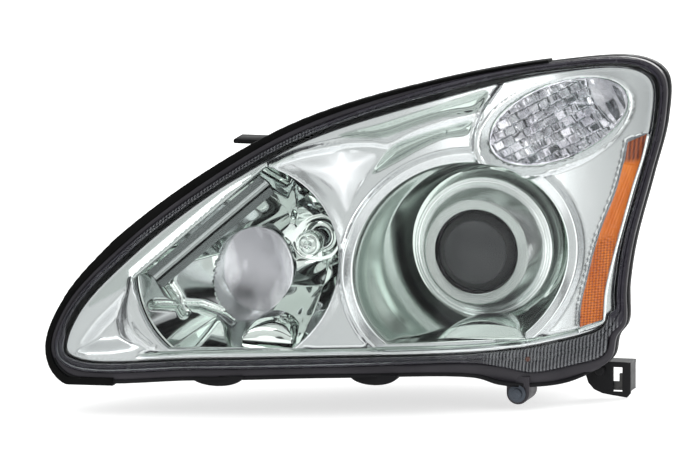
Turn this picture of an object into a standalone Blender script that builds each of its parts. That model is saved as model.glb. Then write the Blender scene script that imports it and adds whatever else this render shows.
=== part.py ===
"""A left-hand car headlight assembly: black housing, clear outer lens, silver bezel, a projector low beam
and a reflector high beam on one aiming carrier, a turn signal, an amber side marker, covers, sockets and
aim screws.

Lengths are in millimetres, and MM turns them into Blender's metres. +X points outboard, +Y to the rear of
the car and +Z up. The origin is the middle of the flat datum pad on the housing's back, halfway between the
two main bulbs' axes. The lamps shine along -Y.
"""

import math

import bmesh
import bpy
from mathutils import Matrix, Vector

MM = 0.001
GAP = 0.3  # clearance between pieces that rest on each other

# The outer lens: a surface that sweeps back outboard and leans back upwards from its inboard front tip.
TIP_X, TIP_Y, FOOT_Z = -254.5, -290.0, -81.0
SWEEP, SWEEP_CUBIC, LEAN = 0.10, 1.6e-6, 0.30
LENS_WALL = 3.0
LENS_SKIRT = 12.0
MIDDLE = (-10.0, 25.0)  # a point well inside every outline, as (x, z)

# Outlines seen along Y, as (x, z), from the inboard tip up, over the top and down the outboard side.
LENS_EDGE = [
    (-245, -87.5), (-260, -73.5), (-250, -38.5), (-208.5, 9), (-141.5, 61.5), (-67.5, 105.5),
    (25.5, 135.5), (117, 151), (180, 148.5), (196.5, 135.5), (199, 101.5), (192, 57.5),
    (182.5, 2.5), (180, -35), (181, -61), (175.5, -69.5), (172, -86), (151, -92), (121.5, -95.5),
    (103, -90.5), (76.5, -85), (-30, -84.5), (-138.5, -86.5),
]
BEZEL_EDGE = [
    (-239, -82.5), (-253.5, -74.5), (-244.5, -43), (-203, 4), (-137.5, 57.5), (-67, 98), (25, 127),
    (116.5, 146.5), (178, 145), (193, 133), (195, 101.5), (187, 57), (175.5, 2.5), (173.5, -35),
    (173.5, -55), (169, -65.5), (154.5, -70.5), (135, -74), (118, -76.5), (100.5, -77.5),
    (75.5, -78.5), (-31, -78), (-140, -80),
]
HOUSING_EDGE = [
    (-248.5, -95.5), (-264.5, -74), (-254.5, -37), (-212, 11.5), (-145, 65.5), (-70.5, 110),
    (23, 140.5), (118, 155.5), (181.5, 153.5), (201, 138.5), (204, 101.5), (197, 57.5),
    (187.5, 2.5), (185, -35), (186, -63), (180.5, -72.5), (177, -90.5), (151, -105.5),
    (121.5, -108), (97.5, -104.5), (78, -97.5), (-30, -94), (-139, -96),
]
SPAN_STEPS = 2  # points for each span of an outline

# The housing behind its flange narrows to a rear wall, which steps forward on the inboard side.
HOUSING_WALL = 3.0
REAR_MIDDLE, REAR_HALF, REAR_SQUARENESS = (25.0, 18.0), (135.0, 92.0), 4.0
REAR_STEP, REAR_STEP_FROM, REAR_STEP_TO = 45.0, -60.0, 40.0
BEZEL_DEPTH, BEZEL_WALL = 15.0, 2.5

# Lamp axes, all along Y, as (x, z).
LOW_AXIS, HIGH_AXIS = (67.0, 0.0), (-67.0, 8.0)
LOW_OPENING, LOW_OPENING_R, LOW_FLOOR_Z = (59.0, -4.0), 81.0, -68.0
HIGH_OPENING, HIGH_OPENING_R, HIGH_FLOOR_Z = (-117.0, -5.0), 83.0, -71.0
HIGH_CHORD = ((-201.0, -17.0), (-105.0, 69.0))  # the straight upper inboard side of the high-beam opening
TURN_MIDDLE, TURN_HALF, TURN_TILT = (126.0, 106.0), (52.0, 32.0), math.radians(20)
TURN_AXIS = (118.0, 82.0)
MARKER_AXIS = (142.0, -42.0)

# Carrier plate and projector lens.
FRAME_FRONT_Y, FRAME_BACK_Y = -88.0, -83.0
LENS_R = 34.0

# Aiming: the carrier tilts and swivels about the ball, and two screws push nuts in its cups.
PIVOT = (5.0, -86.0, -50.0)
VERTICAL_SCREW = (5.0, 70.0)
HORIZONTAL_SCREW = (-80.0, -50.0)
BALL_R, CUP_R, CUP_OUTER_R = 7.0, 7.5, 11.0
SCREW_R = 3.0

CARRIER_PIECES = (
    "aim_frame", "pivot_socket", "high_beam_reflector", "high_bulb_glass", "high_bulb_base",
    "high_bulb_shield", "projector_lens_holder", "projector_lens", "projector_reflector",
    "projector_shutter", "projector_shroud", "projector_screw_1", "projector_screw_2",
    "projector_screw_3", "low_bulb_glass", "low_bulb_base",
)

# Rear openings: (x, z), hole radius, collar radius, collar end along Y.
LOW_PORT = (LOW_AXIS, 48.0, 53.0, 10.0)
HIGH_PORT = (HIGH_AXIS, 32.0, 37.0, -26.0)
TURN_PORT = (TURN_AXIS, 13.0, 17.0, 5.0)
MARKER_PORT = (MARKER_AXIS, 10.0, 14.0, 5.0)

# The sealant's reach inwards from the lens's edge, and the hood seal's width at the outline's first points.
SEALANT_FROM, SEALANT_TO = 0.5, 3.0
SEAL_INNER = 0.8
SEAL_WIDTHS = (6.0, 4.2, 4.2, 7.5, 6.5, 4.6, 2.6, 2.4)

# The eye of the lower mount, as (x, z), and its front and back faces.

LOWER_BOSS = (110.5, -113.0)
LOWER_BOSS_Y = (-172.0, -142.0)

# The side marker's tapered blade in (x, z): down its outboard side, then up its inboard side.
AMBER_OUTBOARD = [
    (177.5, 84.5), (190, 89.5), (187.5, 72), (182.5, 49.5), (175.5, 12), (171.5, -10.5),
    (168, -36.5), (168, -58.5),
]
AMBER_INBOARD = [
    (152.5, -63), (152.5, -44.5), (155.5, -24.5), (159, -2.5), (164, 19.5), (171.5, 45),
    (176, 69.5),
]
AMBER_CLEARANCE = 0.8


# ---------------------------------------------------------------- scene and materials


def clear_scene():
    for obj in list(bpy.data.objects):
        bpy.data.objects.remove(obj)


def new_collection(name):
    collection = bpy.data.collections.new(name)
    bpy.context.scene.collection.children.link(collection)
    return collection


def material(name, colour, roughness, metallic=0.0, alpha=1.0):
    made = bpy.data.materials.new(name)
    made.use_nodes = True
    shader = made.node_tree.nodes["Principled BSDF"]
    shader.inputs["Base Color"].default_value = (*colour, 1.0)
    shader.inputs["Roughness"].default_value = roughness
    shader.inputs["Metallic"].default_value = metallic
    shader.inputs["Alpha"].default_value = alpha
    return made


def make_materials():
    return {
        "housing": material("housing_plastic", (0.02, 0.02, 0.022), 0.55),
        "clear": material("clear_polycarbonate", (0.9, 0.93, 0.92), 0.05, alpha=0.2),
        "rubber": material("seal_rubber", (0.015, 0.015, 0.015), 0.8),
        "sealant": material("butyl_sealant", (0.03, 0.03, 0.03), 0.9),
        "silver": material("satin_silver", (0.75, 0.77, 0.76), 0.3, 0.8),
        "chrome": material("vapour_chrome", (0.85, 0.87, 0.86), 0.06, 1.0),
        "amber": material("amber_plastic", (0.9, 0.3, 0.03), 0.25),
        "glass": material("optical_glass", (0.85, 0.88, 0.88), 0.03, alpha=0.35),
        "black": material("black_plastic", (0.03, 0.03, 0.03), 0.45),
        "steel": material("zinc_steel", (0.6, 0.6, 0.58), 0.35, 1.0),
        "aluminium": material("cast_aluminium", (0.7, 0.71, 0.72), 0.4, 1.0),
        "nylon": material("white_nylon", (0.8, 0.79, 0.74), 0.5),
        "grey": material("grey_plastic", (0.25, 0.26, 0.27), 0.5),
    }


# ---------------------------------------------------------------- outlines and surfaces


def smooth_loop(points, steps=SPAN_STEPS):
    """A closed centripetal Catmull-Rom curve through the points, with steps points for each span."""
    count = len(points)
    loop = []
    for i in range(count):
        before, start, end, after = (Vector(points[(i + k) % count]) for k in (-1, 0, 1, 2))
        knots = [0.0]
        for a, b in ((before, start), (start, end), (end, after)):
            knots.append(knots[-1] + math.sqrt((b - a).length))
        for step in range(steps):
            t = knots[1] + (knots[2] - knots[1]) * step / steps
            loop.append(barry_goldman((before, start, end, after), knots, t))
    return loop


def barry_goldman(points, knots, t):
    """The Catmull-Rom point at parameter t, by repeated linear blends between the four points."""
    level = list(points)
    for width in (1, 2, 3):
        blended = []
        for i in range(len(level) - 1):
            low, high = knots[i], knots[i + width]
            if width == 3:
                low, high = knots[1], knots[2]
            elif width == 2:
                low, high = knots[i], knots[i + 2]
            share = (t - low) / (high - low)
            blended.append(level[i] * (1 - share) + level[i + 1] * share)
        level = blended
    return level[0]


def lens_depth(x, z):
    """Y of the outer lens's front surface."""
    along, up = x - TIP_X, z - FOOT_Z
    return TIP_Y + SWEEP * along + SWEEP_CUBIC * along**3 + LEAN * up


def on_lens(loop, behind):
    """The (x, z) loop laid on the lens surface, that far behind its front."""
    return [Vector((x, lens_depth(x, z) + behind, z)) for x, z in loop]


def behind_edge(loop, behind):
    """A ring's (x, z) loop laid that far behind the lens's edge, so that the ring stays flat across."""
    edge = smooth_loop(LENS_EDGE)
    return [Vector((x, lens_depth(*at) + behind, z)) for (x, z), at in zip(loop, edge)]


def scaled(loop, share, middle=MIDDLE):
    """The (x, z) loop shrunk towards a middle point."""
    centre = Vector(middle)
    return [centre + (Vector(p) - centre) * share for p in loop]


def mixed(first, second, share):
    return [a * (1 - share) + b * share for a, b in zip(first, second)]


def ease(t):
    t = min(1.0, max(0.0, t))
    return t * t * (3 - 2 * t)


def rear_depth(x):
    """Y of the rear wall's outer face."""
    return -REAR_STEP * (1 - ease((x - REAR_STEP_FROM) / (REAR_STEP_TO - REAR_STEP_FROM)))


def rear_loop(front):
    """The rear wall's outline: a rounded rectangle, with one point for each point of the front loop."""
    loop = []
    for x, z in front:
        angle = math.atan2(z - REAR_MIDDLE[1], x - REAR_MIDDLE[0])
        across = abs(math.cos(angle) / REAR_HALF[0]) ** REAR_SQUARENESS
        up = abs(math.sin(angle) / REAR_HALF[1]) ** REAR_SQUARENESS
        reach = (across + up) ** (-1 / REAR_SQUARENESS)
        loop.append(Vector(REAR_MIDDLE) + Vector((math.cos(angle), math.sin(angle))) * reach)
    return loop


def cut_circle(centre, radius, floor_z, chord=None, grow=0.0, count=48):
    """A circle in (x, z) with a flat floor and, if given, one more straight side, grown by a margin."""
    loop = []
    for i in range(count):
        angle = 2 * math.pi * i / count
        ray = Vector((math.cos(angle), math.sin(angle)))
        reach = radius + grow
        if ray.y < 0:
            reach = min(reach, (floor_z - grow - centre[1]) / ray.y)
        if chord:
            start, end = Vector(chord[0]), Vector(chord[1])
            normal = Vector((start.y - end.y, end.x - start.x)).normalized()
            facing = ray.dot(normal)
            if facing > 0:
                reach = min(reach, ((start - Vector(centre)).dot(normal) + grow) / facing)
        loop.append(Vector(centre) + ray * reach)
    return loop


def circle(centre, radius, count=48):
    """A circle in (x, z) with the same start and sense as cut_circle."""
    turns = [2 * math.pi * i / count for i in range(count)]
    return [Vector((centre[0] + radius * math.cos(a), centre[1] + radius * math.sin(a))) for a in turns]


def turn_ellipse(grow=0.0, share=1.0, count=28):
    """The turn signal's tilted ellipse in (x, z)."""
    loop = []
    for i in range(count):
        angle = 2 * math.pi * i / count
        u = (TURN_HALF[0] + grow) * share * math.cos(angle)
        v = (TURN_HALF[1] + grow) * share * math.sin(angle)
        cos, sin = math.cos(TURN_TILT), math.sin(TURN_TILT)
        loop.append(Vector((TURN_MIDDLE[0] + u * cos - v * sin, TURN_MIDDLE[1] + u * sin + v * cos)))
    return loop


def at_depth(loop, y):
    return [Vector((p[0], y, p[1])) for p in loop]


# ---------------------------------------------------------------- building blocks


def add_object(name, data, mat, collection):
    obj = bpy.data.objects.new(name, data)
    if mat:
        data.materials.append(mat)
    collection.objects.link(obj)
    return obj


def mesh_object(name, bm, mat, collection, smooth=True):
    """A new object from a bmesh whose points are in millimetres."""
    bmesh.ops.scale(bm, vec=(MM, MM, MM), verts=bm.verts)
    mesh = bpy.data.meshes.new(name)
    bm.to_mesh(mesh)
    bm.free()
    obj = add_object(name, mesh, mat, collection)
    if smooth:
        mesh.shade_smooth()
        mesh.set_sharp_from_angle(angle=math.radians(35))
    return obj


def loft(name, loops, mat, collection, start="open", end="open"):
    """Skins successive closed loops. Each end is open, closed by one face, or by a fan to its middle."""
    bm = bmesh.new()
    rows = [[bm.verts.new(p) for p in loop] for loop in loops]
    count = len(rows[0])
    for first, second in zip(rows, rows[1:]):
        for i in range(count):
            j = (i + 1) % count
            bm.faces.new((first[i], first[j], second[j], second[i]))
    for row, how in ((rows[0], start), (rows[-1], end)):
        if how == "face":
            bm.faces.new(row)
        elif how == "fan":
            hub = bm.verts.new(sum((v.co for v in row), Vector()) / count)
            for i in range(count):
                bm.faces.new((row[i], row[(i + 1) % count], hub))
    bmesh.ops.recalc_face_normals(bm, faces=bm.faces)
    return mesh_object(name, bm, mat, collection)


def face_out(obj, point):
    """Turns an open surface's faces so that the first one points away from the given point."""
    mesh = obj.data
    bm = bmesh.new()
    bm.from_mesh(mesh)
    bm.faces.ensure_lookup_table()
    face = bm.faces[0]
    if face.normal.dot(face.calc_center_median() - Vector(point) * MM) < 0:
        bmesh.ops.reverse_faces(bm, faces=bm.faces)
    bm.to_mesh(mesh)
    bm.free()


def solidify(obj, thickness, offset=-1.0):
    wall = obj.modifiers.new("wall", "SOLIDIFY")
    wall.thickness = thickness * MM
    wall.offset = offset
    wall.use_even_offset = True
    wall.use_quality_normals = True


def bevel(obj, width, segments=1):
    edge = obj.modifiers.new("edge", "BEVEL")
    edge.width = width * MM
    edge.segments = segments
    edge.limit_method = "ANGLE"
    edge.angle_limit = math.radians(50)


def cylinder(name, place, length, radius, mat, collection, axis="Y", segments=24, tip_radius=None):
    """A cylinder or cone whose middle is at place, with its tip_radius end towards +axis."""
    bm = bmesh.new()
    bmesh.ops.create_cone(
        bm, cap_ends=True, segments=segments, radius1=radius,
        radius2=radius if tip_radius is None else tip_radius, depth=length,
    )
    obj = mesh_object(name, bm, mat, collection)
    obj.rotation_euler = {"X": (0, math.pi / 2, 0), "Y": (-math.pi / 2, 0, 0), "Z": (0, 0, 0)}[axis]
    obj.location = Vector(place) * MM
    return obj


def box(name, low, high, mat, collection):
    """A box from its lowest to its highest corner."""
    low, high = Vector(low), Vector(high)
    bm = bmesh.new()
    bmesh.ops.create_cube(bm, size=1.0)
    bmesh.ops.scale(bm, vec=high - low, verts=bm.verts)
    obj = mesh_object(name, bm, mat, collection, smooth=False)
    obj.location = (low + high) / 2 * MM
    return obj


def ball(name, place, radius, mat, collection, segments=16, rings=10):
    bm = bmesh.new()
    bmesh.ops.create_uvsphere(bm, u_segments=segments, v_segments=rings, radius=radius)
    obj = mesh_object(name, bm, mat, collection)
    obj.rotation_euler = (-math.pi / 2, 0, 0)
    obj.location = Vector(place) * MM
    return obj


def turned(name, profile, axis_at, mat, collection, steps=28):
    """A shape turned about a line along Y at (x, z). The profile is (radius, y): one that ends on the line makes
    a solid, and one that comes back along its inner side makes a ring."""
    mesh = bpy.data.meshes.new(name)
    points = [(r * MM, 0.0, -y * MM) for r, y in profile]
    edges = [(i, i + 1) for i in range(len(points) - 1)]
    if min(profile[0][0], profile[-1][0]) > 0:
        edges.append((len(points) - 1, 0))
    mesh.from_pydata(points, edges, [])
    obj = add_object(name, mesh, mat, collection)
    screw = obj.modifiers.new("turn", "SCREW")
    screw.axis = "Z"
    screw.angle = 2 * math.pi
    screw.steps = screw.render_steps = steps
    screw.use_merge_vertices = True
    screw.merge_threshold = 0.0001 * 0.9
    screw.use_smooth_shade = True
    obj.rotation_euler = (math.pi / 2, 0, 0)
    obj.location = Vector((axis_at[0], 0.0, axis_at[1])) * MM
    return obj


def plate(name, outlines, y_front, y_back, mat, collection):
    """Flat (x, z) outlines, the first round the plate and the rest its holes, extruded along Y."""
    curve = bpy.data.curves.new(name, "CURVE")
    curve.dimensions = "2D"
    curve.fill_mode = "BOTH"
    curve.extrude = (y_back - y_front) / 2 * MM
    for outline in outlines:
        spline = curve.splines.new("POLY")
        spline.points.add(len(outline) - 1)
        for point, (x, z) in zip(spline.points, outline):
            point.co = (x * MM, z * MM, 0.0, 1.0)
        spline.use_cyclic_u = True
    guide = bpy.data.objects.new(name + "_outline", curve)
    collection.objects.link(guide)
    guide.rotation_euler = (math.pi / 2, 0, 0)
    guide.location = (0.0, (y_front + y_back) / 2 * MM, 0.0)
    return curve_to_mesh(guide, name, mat, collection)


def curve_to_mesh(guide, name, mat, collection):
    """Replaces a curve object with a mesh object whose caps are welded."""
    bpy.context.view_layer.update()
    graph = bpy.context.evaluated_depsgraph_get()
    mesh = bpy.data.meshes.new_from_object(guide.evaluated_get(graph))
    bm = bmesh.new()
    bm.from_mesh(mesh)
    bmesh.ops.remove_doubles(bm, verts=bm.verts, dist=0.01 * MM)
    bmesh.ops.recalc_face_normals(bm, faces=bm.faces)
    bm.to_mesh(mesh)
    bm.free()
    mesh.materials.clear()
    obj = add_object(name, mesh, mat, collection)
    obj.matrix_world = guide.matrix_world
    bpy.data.objects.remove(guide)
    return obj


def tube(name, points, radius, mat, collection):
    """A round wire through the points, as a poly curve with filled caps."""
    curve = bpy.data.curves.new(name, "CURVE")
    curve.dimensions = "3D"
    curve.bevel_depth = radius * MM
    curve.bevel_resolution = 2
    curve.use_fill_caps = True
    spline = curve.splines.new("POLY")
    spline.points.add(len(points) - 1)
    for point, place in zip(spline.points, points):
        point.co = (*(Vector(place) * MM), 1.0)
    guide = bpy.data.objects.new(name + "_path", curve)
    collection.objects.link(guide)
    return curve_to_mesh(guide, name, mat, collection)


def combine(obj, other, operation):
    """Cuts other from obj, or joins it on, and hides other as a tool."""
    tool = obj.modifiers.new(other.name, "BOOLEAN")
    tool.operation = operation
    tool.solver = "EXACT"
    tool.object = other
    other.hide_render = True
    other.display_type = "WIRE"


def hang(parts, place, names):
    """Parents the named pieces to an empty on their joint."""
    pivot = bpy.data.objects.new("aim_pivot", None)
    pivot.location = Vector(place) * MM
    parts.objects.link(pivot)
    bpy.context.view_layer.update()
    for name in names:
        piece = parts.objects[name]
        piece.parent = pivot
        piece.matrix_parent_inverse = pivot.matrix_world.inverted()


def cut(obj, *others):
    for other in others:
        combine(obj, other, "DIFFERENCE")


def join(obj, *others):
    for other in others:
        combine(obj, other, "UNION")


# ---------------------------------------------------------------- housing, lens and seals


def make_outer_lens(mats, parts):
    edge, inner = smooth_loop(LENS_EDGE), smooth_loop(BEZEL_EDGE)
    loops = [
        on_lens(edge, LENS_SKIRT),
        on_lens(edge, 2.5),
        on_lens(mixed(edge, inner, 0.3), 0.3),
        on_lens(inner, 0.0),
        on_lens(scaled(inner, 0.7), 0.0),
        on_lens(scaled(inner, 0.35), 0.0),
    ]
    lens = loft("outer_lens", loops, mats["clear"], parts, end="fan")
    face_out(lens, (MIDDLE[0], 0, MIDDLE[1]))
    solidify(lens, LENS_WALL)


def make_sealant(mats, parts):
    """The butyl bead between the lens's skirt and the floor of the housing's channel."""
    edge = smooth_loop(LENS_EDGE)
    near, far = LENS_SKIRT + 1.2, LENS_SKIRT + 4.4
    outside = [point - outward(edge, i) * SEALANT_FROM for i, point in enumerate(edge)]
    inside = [point - outward(edge, i) * SEALANT_TO for i, point in enumerate(edge)]
    corners = ((outside, near), (outside, far), (inside, far), (inside, near), (outside, near))
    loops = [behind_edge(loop, depth) for loop, depth in corners]
    weld_ring(loft("lens_sealant", loops, mats["sealant"], parts))


def weld_ring(obj):
    """Joins the first and last loop of a loft that comes back to its start, and points its faces out."""
    bm = bmesh.new()
    bm.from_mesh(obj.data)
    bmesh.ops.remove_doubles(bm, verts=bm.verts, dist=0.01 * MM)
    bmesh.ops.recalc_face_normals(bm, faces=bm.faces)
    bm.to_mesh(obj.data)
    bm.free()


def make_housing(mats, parts, tools):
    edge, inner = smooth_loop(HOUSING_EDGE), smooth_loop(BEZEL_EDGE)
    rear = rear_loop(inner)
    rear_rim = [Vector((x, rear_depth(x), z)) for x, z in rear]
    front_rim = behind_edge(mixed(edge, inner, 0.4), 22.0)
    loops = [behind_edge(edge, 8.0), behind_edge(edge, 22.0), front_rim]
    loops += [part_way(front_rim, rear_rim, across, back) for across, back in ((0.04, 0.35), (0.6, 0.88))]
    loops.append(rear_rim)
    loops.append([Vector((x, rear_depth(x), z)) for x, z in scaled(rear, 0.5, REAR_MIDDLE)])
    housing = loft("housing", loops, mats["housing"], parts, end="fan")
    face_out(housing, (MIDDLE[0], -150, MIDDLE[1]))
    solidify(housing, HOUSING_WALL)
    ports = {"low": LOW_PORT, "high": HIGH_PORT, "turn": TURN_PORT, "marker": MARKER_PORT}
    for name, port in ports.items():
        add_port(housing, name, port, tools)
    bosses = (
        ("vertical", VERTICAL_SCREW, 3.6),
        ("horizontal", HORIZONTAL_SCREW, 3.6),
        ("pivot", (PIVOT[0], PIVOT[2]), 3.9),
    )
    for name, (x, z), hole in bosses:
        wall = rear_depth(x)
        join(housing, cylinder(f"{name}_boss", (x, wall - 2, z), 16, 8, None, tools, segments=20))
        cut(housing, cylinder(f"{name}_hole", (x, wall, z), 60, hole, None, tools, segments=20))
    join(housing, box("datum_block", (-12, -24, -14), (12, 0, 14), None, tools))
    make_mount_features(housing, tools)


def part_way(front, back, across, along):
    """The loop between two loops that has gone one share of the way in X and Z and another in Y."""
    share = Vector((across, along, across))
    return [a + (b - a) * share for a, b in zip(front, back)]


def add_port(housing, name, port, tools):
    """A round opening in the rear wall, with a collar."""
    axis, hole, collar, end = port
    start = rear_depth(axis[0]) - 8.0
    middle = (axis[0], (start + end) / 2, axis[1])
    join(housing, cylinder(f"{name}_collar", middle, end - start, collar, None, tools, segments=28))
    cut(housing, cylinder(f"{name}_bore", (axis[0], end - 30, axis[1]), 80, hole, None, tools, segments=28))


def make_mount_features(housing, tools):
    """The lower boss, the upper tab and the rib that the bumper's bracket hangs from."""
    x, z = LOWER_BOSS
    front, back = LOWER_BOSS_Y
    middle = (x, (front + back) / 2, z)
    join(housing, cylinder("lower_boss", middle, back - front, 10, None, tools, segments=24))
    cut(housing, cylinder("lower_boss_hole", middle, 60, 5.3, None, tools, segments=20))
    join(housing, box("upper_tab", (-143, -140, 84.2), (-78, -112, 88.2), None, tools))
    cut(housing, cylinder("upper_tab_hole", (-134, -126, 86), 20, 3.5, None, tools, axis="Z", segments=16))
    join(housing, box("bracket_rib", (146, -91, -96.2), (166, -74, -82), None, tools))


def outward(loop, i):
    """The unit (x, z) direction out of a loop at point i."""
    along = (loop[(i + 1) % len(loop)] - loop[i - 1]).normalized()
    side = Vector((-along.y, along.x))
    if side.dot(loop[i] - Vector(MIDDLE)) < 0:
        side = -side
    return side


def make_hood_seal(mats, parts):
    """The rubber strip round the inboard tip and along the top, with a foot below the tip."""
    loop = smooth_loop(HOUSING_EDGE)
    foot = loop[0].lerp(loop[-1], 0.7)
    path = [(foot, outward(loop, 0))] + [(loop[i], outward(loop, i)) for i in range(7 * SPAN_STEPS)]
    sections = []
    for i, (point, side) in enumerate(path):
        place = max(0.0, (i - 1) / SPAN_STEPS)
        first = int(place)
        last = min(first + 1, len(SEAL_WIDTHS) - 1)
        width = SEAL_WIDTHS[first] + (SEAL_WIDTHS[last] - SEAL_WIDTHS[first]) * (place - first)
        inner, outer = point + side * SEAL_INNER, point + side * width
        mid = point + side * width * 0.9
        depth = lens_depth(*point)
        sections.append([
            Vector((inner.x, depth + 6, inner.y)), Vector((mid.x, depth + 4, mid.y)),
            Vector((outer.x, depth + 7, outer.y)), Vector((outer.x, depth + 18, outer.y)),
            Vector((inner.x, depth + 20, inner.y)),
        ])
    loft("hood_seal", sections, mats["rubber"], parts, start="face", end="face")


# ---------------------------------------------------------------- bezel and fixed lamps


def make_bezel(mats, parts, tools):
    """The silver frame: a sheet that follows the lens, its border turned forward, with its openings."""
    border = smooth_loop(BEZEL_EDGE)
    loops = []
    for share, behind in ((0.992, -1.0), (0.95, 0.5), (0.88, 2.0), (0.6, 2.0), (0.3, 2.0)):
        loops.append(on_lens(scaled(border, share), BEZEL_DEPTH + behind))
    bezel = loft("bezel", loops, mats["silver"], parts, end="fan")
    face_out(bezel, (MIDDLE[0], 0, MIDDLE[1]))
    solidify(bezel, BEZEL_WALL)
    openings = (
        ("low_cutter", cut_circle(LOW_OPENING, LOW_OPENING_R, LOW_FLOOR_Z, count=36)),
        ("high_cutter", cut_circle(HIGH_OPENING, HIGH_OPENING_R, HIGH_FLOOR_Z, HIGH_CHORD, count=36)),
        ("turn_cutter", turn_ellipse()),
        ("amber_cutter", amber_notch()),
    )
    for name, loop in openings:
        cut(bezel, plate(name, [loop], -330, 60, None, tools))


def amber_notch():
    """The notch in the bezel for the side marker, open at the bezel's outboard edge."""
    outer = [(x + 25, z) for x, z in AMBER_OUTBOARD[2:-1]]
    inner = [(x - AMBER_CLEARANCE, z) for x, z in AMBER_INBOARD[1:]]
    foot = (AMBER_INBOARD[0][0] - AMBER_CLEARANCE, AMBER_INBOARD[0][1] - AMBER_CLEARANCE)
    return [(176.8, 85.9), (215, 103)] + outer + [(195, -56.5), foot] + inner


def make_amber(mats, parts):
    outline = AMBER_OUTBOARD + AMBER_INBOARD
    front = on_lens(outline, BEZEL_DEPTH - 2.5)
    back = on_lens(outline, BEZEL_DEPTH + 4)
    loft("amber_side_marker", [front, back], mats["amber"], parts, start="face", end="face")


def make_low_bowl(mats, parts):
    """The chrome well round the projector, from the bezel's round opening to a floor with a hole."""
    rim = cut_circle(LOW_OPENING, LOW_OPENING_R + 0.5, LOW_FLOOR_Z - 0.5, count=32)
    front = on_lens(rim, BEZEL_DEPTH + 9.0)
    foot = at_depth(circle(LOW_AXIS, 65.0, 32), -98.0)
    hole = at_depth(circle(LOW_AXIS, 53.0, 32), -96.5)
    middle = [a.lerp(b, 0.6) + Vector((0, 4.0, 0)) for a, b in zip(front, foot)]
    bowl = loft("low_beam_well", [front, middle, foot, hole], mats["chrome"], parts)
    face_out(bowl, (LOW_AXIS[0], -400, LOW_AXIS[1]))
    solidify(bowl, 1.5, offset=1.0)


def make_turn_signal(mats, parts):
    rim = on_lens(turn_ellipse(grow=0.5), BEZEL_DEPTH + 8.5)
    hub = at_depth(circle(TURN_AXIS, 12.0, 28), -42.0)
    belly = [a.lerp(b, 0.55) + Vector((0, 12.0, 0)) for a, b in zip(rim, hub)]
    reflector = loft("turn_reflector", [rim, belly, hub], mats["chrome"], parts)
    face_out(reflector, (TURN_AXIS[0], -400, TURN_AXIS[1]))
    solidify(reflector, 1.5, offset=1.0)
    lens_loops = [
        on_lens(turn_ellipse(grow=-1.0), BEZEL_DEPTH + 4.5),
        on_lens(turn_ellipse(grow=-1.0), BEZEL_DEPTH - 1.0),
        on_lens(turn_ellipse(grow=-1.0, share=0.7), BEZEL_DEPTH - 4.0),
        on_lens(turn_ellipse(grow=-1.0, share=0.35), BEZEL_DEPTH - 5.0),
    ]
    inner = loft("turn_inner_lens", lens_loops, mats["clear"], parts, end="fan")
    face_out(inner, (TURN_MIDDLE[0], 0, TURN_MIDDLE[1]))
    solidify(inner, 1.8)


def socket_set(name, port, tip_y, glass_r, mats, parts, tools):
    """A wedge bulb, its quarter-turn holder and the holder's gasket, on one axis in a rear opening."""
    axis, hole, collar, end = port
    x, z = axis
    plug = hole - 1.0
    bulb = [(0, tip_y), (glass_r * 0.6, tip_y + 1.2), (glass_r, tip_y + 6), (glass_r, -30), (0, -30)]
    turned(f"{name}_bulb", bulb, axis, mats["glass"], parts, steps=16)
    body = [(0, -29.7), (plug, -29.7), (plug, end + 3.4), (collar, end + 3.4), (collar, end + 7),
            (plug * 0.8, end + 7), (plug * 0.8, end + 20), (0, end + 20)]
    holder = turned(f"{name}_socket", body, axis, mats["black"], parts, steps=20)
    grip = collar * 0.95
    join(holder, box(f"{name}_grip", (x - grip, end + 5, z - 2), (x + grip, end + 15, z + 2), None, tools))
    ring = [(hole + 3, end + 0.3), (hole + 3, end + 3.1), (hole + 0.2, end + 3.1), (hole + 0.2, end + 0.3)]
    turned(f"{name}_gasket", ring, axis, mats["rubber"], parts, steps=20)


# ---------------------------------------------------------------- the aiming carrier


def arc(centre, radius, start, end, count):
    """Points on an arc in (x, z), between two angles in degrees."""
    turns = [math.radians(start + (end - start) * i / (count - 1)) for i in range(count)]
    return [(centre[0] + radius * math.cos(a), centre[1] + radius * math.sin(a)) for a in turns]


def make_aim_frame(mats, parts, tools):
    """The carrier: a plate with a ring for each lamp, two cups for the aim nuts, and the pivot's seat."""
    x, z = PIVOT[0], PIVOT[2]
    outline = arc(LOW_AXIS, 57, -128, 140, 16)
    outline += [(x + 10, 45), (x + 7, VERTICAL_SCREW[1] + 3), (x - 7, VERTICAL_SCREW[1] + 3), (x - 10, 34)]
    outline += arc(HIGH_AXIS, 33, 40, 215, 9)
    outline += [(-88, -30), (-90, -52), (-84, -59), (x - 12, -61), (x + 12, -61)]
    slot = [(-58, -46), (-58, -36), (-20, -36), (-20, -46)]
    holes = [arc(LOW_AXIS, 43, 0, 345, 24), arc(HIGH_AXIS, 22, 0, 340, 18), slot]
    frame = plate("aim_frame", [outline] + holes, FRAME_FRONT_Y, FRAME_BACK_Y, mats["grey"], parts)
    join(frame, cylinder("pivot_seat", PIVOT, 16, 15, None, tools, segments=20))
    cut(frame, cylinder("pivot_bore", PIVOT, 60, 11.6, None, tools, segments=20))
    for name, (x, z) in (("vertical", VERTICAL_SCREW), ("horizontal", HORIZONTAL_SCREW)):
        middle = (x, PIVOT[1], z)
        join(frame, cylinder(f"{name}_cup", middle, 19, CUP_OUTER_R, None, tools, segments=16))
        cut(frame, cylinder(f"{name}_passage", middle, 60, 4.8, None, tools, segments=16))
        cut(frame, ball(f"{name}_cavity", middle, CUP_R, None, tools))


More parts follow.
